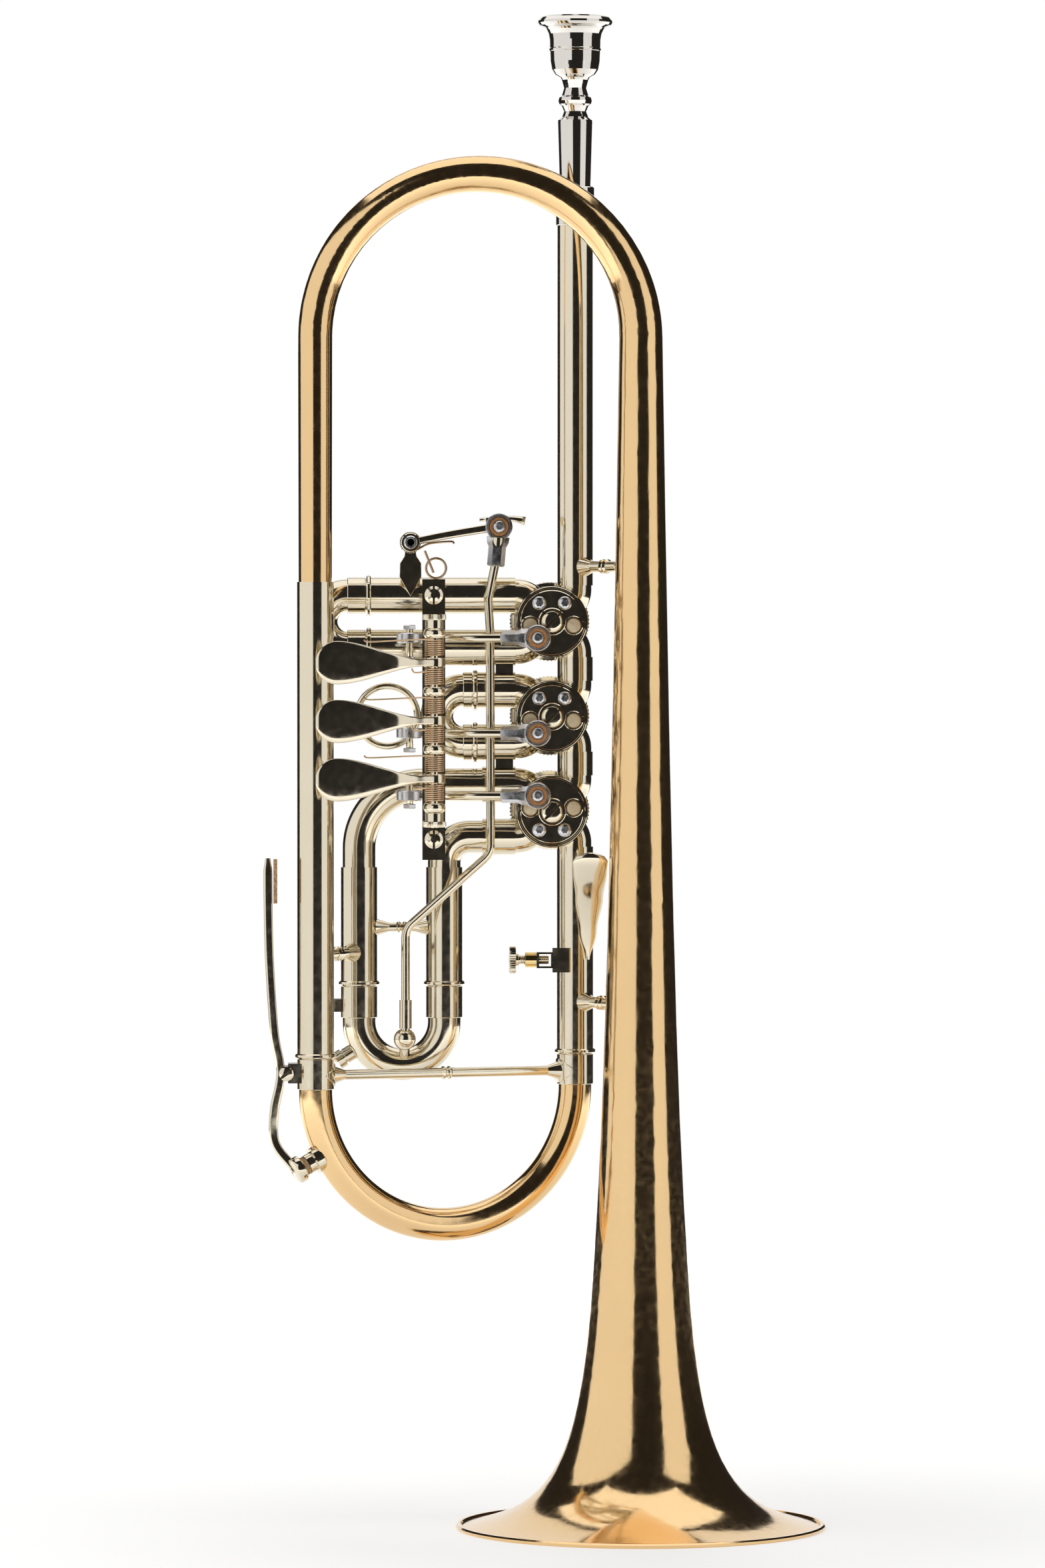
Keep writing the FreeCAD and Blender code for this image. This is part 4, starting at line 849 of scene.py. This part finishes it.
LEG_STEPS = [(0, 0, 0), (4.5, 0, 2.2), (12.0, 0, 2.9), (13.4, 0, 2.2)]


def make_trigger():
    """The third slide's trigger: lever, thumb plate, the rod's ring, the post and a spring end."""
    pivot = joint_place("trigger_swing")
    rod_high = box_of("trigger_rod")[1]
    ring = Vector((rod_high.x - ROD_RING_REACH, ROD_RING_DEPTH, rod_high.z - ROD_RING_REACH))
    arm = Vector((ring.x, 0, ring.z)) - Vector((pivot.x, 0, pivot.z))
    way = arm.normalized()
    hub = Vector((pivot.x, TRIGGER_DEPTH, pivot.z))
    tip = hub + arm
    line = curve_through([hub, hub + way * 12 + UP * 0.3, hub + way * 24 + UP * 0.2, tip])
    count = len(line)
    widths = [1.35 + 0.25 * index / count for index in range(count)]
    start = tip + UP * 2.4 - way * 7.0 + BACK * 5.5
    thumb = curve_through([start + Vector(step) for step in THUMB_STEPS])
    shares = [index / (len(thumb) - 1) for index in range(len(thumb))]
    thumb_widths = [between(THUMB_WIDTHS, share) for share in shares]
    thumb_depths = [0.75 + 0.9 * share ** 2 for share in shares]
    bore = ring_profile(1.6, 3.5, -1.25, 1.25, 0.3)
    piece(
        "trigger_lever_visual", "trigger",
        (NICKEL, turned(bore, aim(hub, FRONT), wrap=True)),
        (NICKEL, strip(line, UP, widths, [1.15] * count)),
        (NICKEL, turned(rounded(2.6, -1.2, 1.2, 0.3), aim(tip, FRONT))),
        (NICKEL, turned(rounded(PIN, 0, 6.6), aim(tip, FRONT))),
        (NICKEL, strip(thumb, BACK, thumb_widths, thumb_depths, crown=0.03)),
        (NICKEL, block(3.4, 2.2, 4.4, aim(tip - way * 3.0 - UP * 0.6, UP), 0.3)),
        replaces=["trigger_lever"],
    )
    make_joint_screw("trigger_joint_screw", "trigger", aim(tip + FRONT * 6.5, FRONT), 0)

    down = (Vector((ring.x - 1.2, ring.y, ring.z - 14)) - ring).normalized()
    front = aim(ring, FRONT)
    socket = [
        (3.6, 0.5, 1.3), (5.6, 0.8, 1.25), (7.4, 1.0, 1.0), (13.9, 1.0, 1.0), (14.3, 0.85, 0.85),
    ]
    piece(
        "trigger_rod_socket", "third_slide",
        ("steel", turned(ring_profile(3.5, 4.85, -1.8, 1.8, 0.35), front, wrap=True)),
        ("joint_liner", turned(ring_profile(*LINK_LINER, -1.65, 1.75, 0.2), front, wrap=True)),
        ("steel", prism(HEX, 5.5, socket, aim(ring, down, FRONT))),
    )

    post = aim(Vector((pivot.x, POST_DEPTH, pivot.z)), FRONT)
    face = aim(Vector((pivot.x, 26.4, pivot.z)), FRONT, RIGHT)
    foot = aim(Vector((pivot.x, 26.2, pivot.z - 11.4)), BACK)
    piece(
        "trigger_post_visual", "instrument",
        (NICKEL, turned(POST_KNURL, post, wrap=True, teeth=36)),
        (NICKEL, plate(POST_SHOULDER, 1.8, face, 0.2)),
        (NICKEL, block(7.0, 4.4, 5.0, foot, 0.3)),
        (NICKEL, turned(rounded(1.5, 0, 8.0), post)),
        ("steel", turned(POST_SCREW, post)),
        replaces=["trigger_post"],
    )
    leg = Vector((pivot.x + 2.4, 23.4, pivot.z - 2.6))
    path = [leg + Vector(step) for step in LEG_STEPS]
    piece("trigger_spring_leg", "trigger", ("spring_bronze", wire(path, 0.42)))


# ---------------------------------------------------------------- main slide's water key and stay

CUP_ANGLE = math.radians(27.0)
CUP_BEARING = (-0.947, -0.3213)
CUP_RIGHT, CUP_DEPTH, CUP_RISE = 15.64, 1.74, 9.09
CUP_BOWL = [
    (0.4, 13.2), (3.45, 13.2), (3.45, 11.9), (4.65, 11.9), (4.9, 12.2), (4.9, 14.3), (4.5, 14.95),
    (3.6, 15.25), (0.4, 15.3),
]
KEY_STEPS = [
    (-6.6, 0, 77.1), (-6.5, 0, 60), (-6.0, 0, 40), (-4.3, 0, 15), (-2.2, 0, 3), (-2.4, 0, -4),
    (-4.3, 0, -14), (-4.0, 0, -25),
]
KEY_WIDTHS = [(0, 0.9), (0.03, 1.6), (0.5, 1.55), (0.62, 1.7), (0.8, 1.6), (1, 1.5)]
KEY_HALF_DEPTH = 0.9
KEY_SLOT_ANGLE = math.radians(40)
STAY_ENDS = Vector((-116.8, 0, 163.0)), Vector((-22.5, 32.0, 163.0))
STAY_TUBE, LEAF_HALF_ANGLE, LEAF_HALF_LENGTH = 6.62, 74, 4.4


def make_water_key():
    """The main slide's water key: a flat curved lever, its cup and its pivot screw."""
    pivot = joint_place("water_key_press")
    pads_low = box_of("water_key_pads")[0]
    level, drop = math.cos(CUP_ANGLE), -math.sin(CUP_ANGLE)
    outward = Vector((CUP_BEARING[0] * level, CUP_BEARING[1] * level, drop))
    station = Vector((pivot.x + CUP_RIGHT, CUP_DEPTH, pads_low.z + CUP_RISE))
    tip = station + outward * 14.6
    line = curve_through([
        *(pivot + Vector(step) for step in KEY_STEPS),
        Vector((tip.x - 1.6, tip.y * 0.6, tip.z + 2.2)), tip + outward * 0.2,
    ], 9)
    count = len(line) - 1
    widths = [between(KEY_WIDTHS, index / count) for index in range(count + 1)]
    depths = [KEY_HALF_DEPTH] * (count + 1)
    piece(
        "water_key_visual", "water_key",
        (NICKEL, strip(line, RIGHT, widths, depths, sides=28)),
        (NICKEL, turned(rounded(2.4, -2.0, 2.0, 0.3), aim(pivot, BACK))),
        (NICKEL, turned(CUP_BOWL, aim(station, outward))),
        replaces=["water_key_lever"],
    )
    head = aim(pivot + FRONT * 5.2, FRONT)
    profile = [(1.0, -0.4), (2.55, -0.2), (2.65, 0.1), (2.6, 0.7), (2.2, 1.0), (0.8, 1.15)]
    turned_slot = head @ Matrix.Rotation(KEY_SLOT_ANGLE, 4, "Z")
    piece(
        "water_key_screw", "main_slide",
        (NICKEL, turned(profile, head)),
        cuts=[screw_slot(7.0, 0.6, turned_slot @ Matrix.Translation(UP * 1.05))],
    )


def make_saddles():
    """The pointed leaves where the main slide's stay meets its tubes."""
    left, right = STAY_ENDS
    across = right - left
    leaf = (STAY_TUBE, LEAF_HALF_ANGLE, LEAF_HALF_LENGTH)
    piece(
        "main_stay_saddles", "main_slide",
        (NICKEL, saddle(left, UP, across, *leaf)),
        (NICKEL, saddle(right, UP, -across, *leaf)),
    )


for valve in VALVES:
    make_paddle(valve)
    make_link(valve)
    make_stop_arm(valve)
    make_valve_front(valve)
make_axle()
make_caps()
make_hook()
make_lyre()
make_trigger()
make_water_key()
make_saddles()

# ---------------------------------------------------------------- floor, lights and camera

centre = (CAD_LOW + CAD_HIGH) / 2
height = CAD_HIGH.z - CAD_LOW.z
target = Vector((centre.x - 0.008, 0, centre.z - 0.005))


def around(azimuth, distance, rise):
    """A point round the object, with azimuth in degrees to the right of the camera's side."""
    turn = math.radians(azimuth)
    across, back = distance * math.sin(turn), distance * math.cos(turn)
    return Vector((centre.x + across, centre.y - back, rise))


def softbox(name, place, facing, width, tall, radiance):
    """A soft rectangular light at place that shines along facing, unseen by the camera."""
    lamp = bpy.data.lights.new(name, "AREA")
    lamp.shape = "RECTANGLE"
    lamp.size = width
    lamp.size_y = tall
    lamp.energy = radiance * math.pi * width * tall
    box = bpy.data.objects.new(name, lamp)
    bpy.context.scene.collection.objects.link(box)
    box.location = place
    box.rotation_euler = Vector(facing).to_track_quat("-Z", "Y").to_euler()
    box.visible_camera = False


def side_softbox(name, start, end, distance, top, radiance):
    """An upright softbox over the angles from start to end, from the floor up to top."""
    middle = (start + end) / 2
    width = 2 * distance * math.tan(math.radians(end - start) / 2)
    place = around(middle, distance, top / 2 + 0.01)
    softbox(name, place, (centre.x - place.x, centre.y - place.y, 0), width, top, radiance)


SIDE_RADIANCE, BACK_RADIANCE, TOP_RADIANCE = 0.92, 0.9, 1.15
side_softbox("softbox_left", -116, -17, 1.5, 1.75, SIDE_RADIANCE)
side_softbox("softbox_right", 37, 80, 1.5, 1.75, SIDE_RADIANCE)
side_softbox("softbox_back", 165, 200, 2.2, 2.2, BACK_RADIANCE)
softbox("softbox_top", (centre.x, 0.55, 2.1), (0, 0, -1), 2.6, 2.4, TOP_RADIANCE)

FLOOR_SIZE = 2.6
PAPER = (0.86, 0.86, 0.85)
# Painted light: the floor glows from the first strength to the second between these distances from
# its middle.
FLOOR_GLOW, GLOW_REACH = (0.42, 1.0), (0.12, 1.0)
MIRRORED_STUDIO = (0.022, 0.02, 0.019, 1)
CAMERA_DISTANCE, CAMERA_LENS = 5.27, 183.8
CAMERA_YAW, CAMERA_PITCH = math.radians(1.7), math.radians(1.2)


def floor():
    bpy.ops.mesh.primitive_plane_add(size=FLOOR_SIZE)
    made = bpy.context.object
    made.name = "floor"
    paper = Shader("pale_paper_painted_glow", PAPER, 0.0, 0.75)
    # Painted glow: the floor's white emission stands in for a lit paper sweep. It is weaker near
    # its middle and full further out.
    paper.set(Emission_Color=(1, 1, 1, 1))
    distance = paper.node("ShaderNodeVectorMath")
    distance.operation = "LENGTH"
    paper.link(paper.place(), distance.inputs[0])
    glow = paper.spread(distance.outputs["Value"], *FLOOR_GLOW, *GLOW_REACH)
    paper.feed("Emission Strength", glow)
    paper.bump(paper.noise(300.0), 0.0002, 0.3)
    made.data.materials.append(paper.material)


def world():
    """White paper all round for the camera, and a dim studio in what the metal mirrors."""
    made = bpy.data.worlds.new("studio")
    bpy.context.scene.world = made
    made.use_nodes = True
    tree = made.node_tree
    output = tree.nodes["World Output"]
    seen = tree.nodes["Background"]
    seen.inputs["Color"].default_value = (1, 1, 1, 1)
    mirrored = tree.nodes.new("ShaderNodeBackground")
    mirrored.inputs["Color"].default_value = MIRRORED_STUDIO
    ray = tree.nodes.new("ShaderNodeLightPath")
    mix = tree.nodes.new("ShaderNodeMixShader")
    tree.links.new(ray.outputs["Is Camera Ray"], mix.inputs["Fac"])
    tree.links.new(mirrored.outputs["Background"], mix.inputs[1])
    tree.links.new(seen.outputs["Background"], mix.inputs[2])
    tree.links.new(mix.outputs["Shader"], output.inputs["Surface"])


def camera():
    """A long lens, a little left of the object and slightly above its middle."""
    distance = CAMERA_DISTANCE * height
    data = bpy.data.cameras.new("camera")
    data.lens = CAMERA_LENS
    made = bpy.data.objects.new("camera", data)
    bpy.context.scene.collection.objects.link(made)
    back = Vector((
        -math.sin(CAMERA_YAW) * math.cos(CAMERA_PITCH),
        -math.cos(CAMERA_YAW) * math.cos(CAMERA_PITCH), math.sin(CAMERA_PITCH),
    ))
    made.location = target + back * distance
    made.rotation_euler = (-back).to_track_quat("-Z", "Y").to_euler()
    bpy.context.scene.camera = made


floor()
world()
camera()
bpy.context.scene.view_settings.view_transform = "Standard"
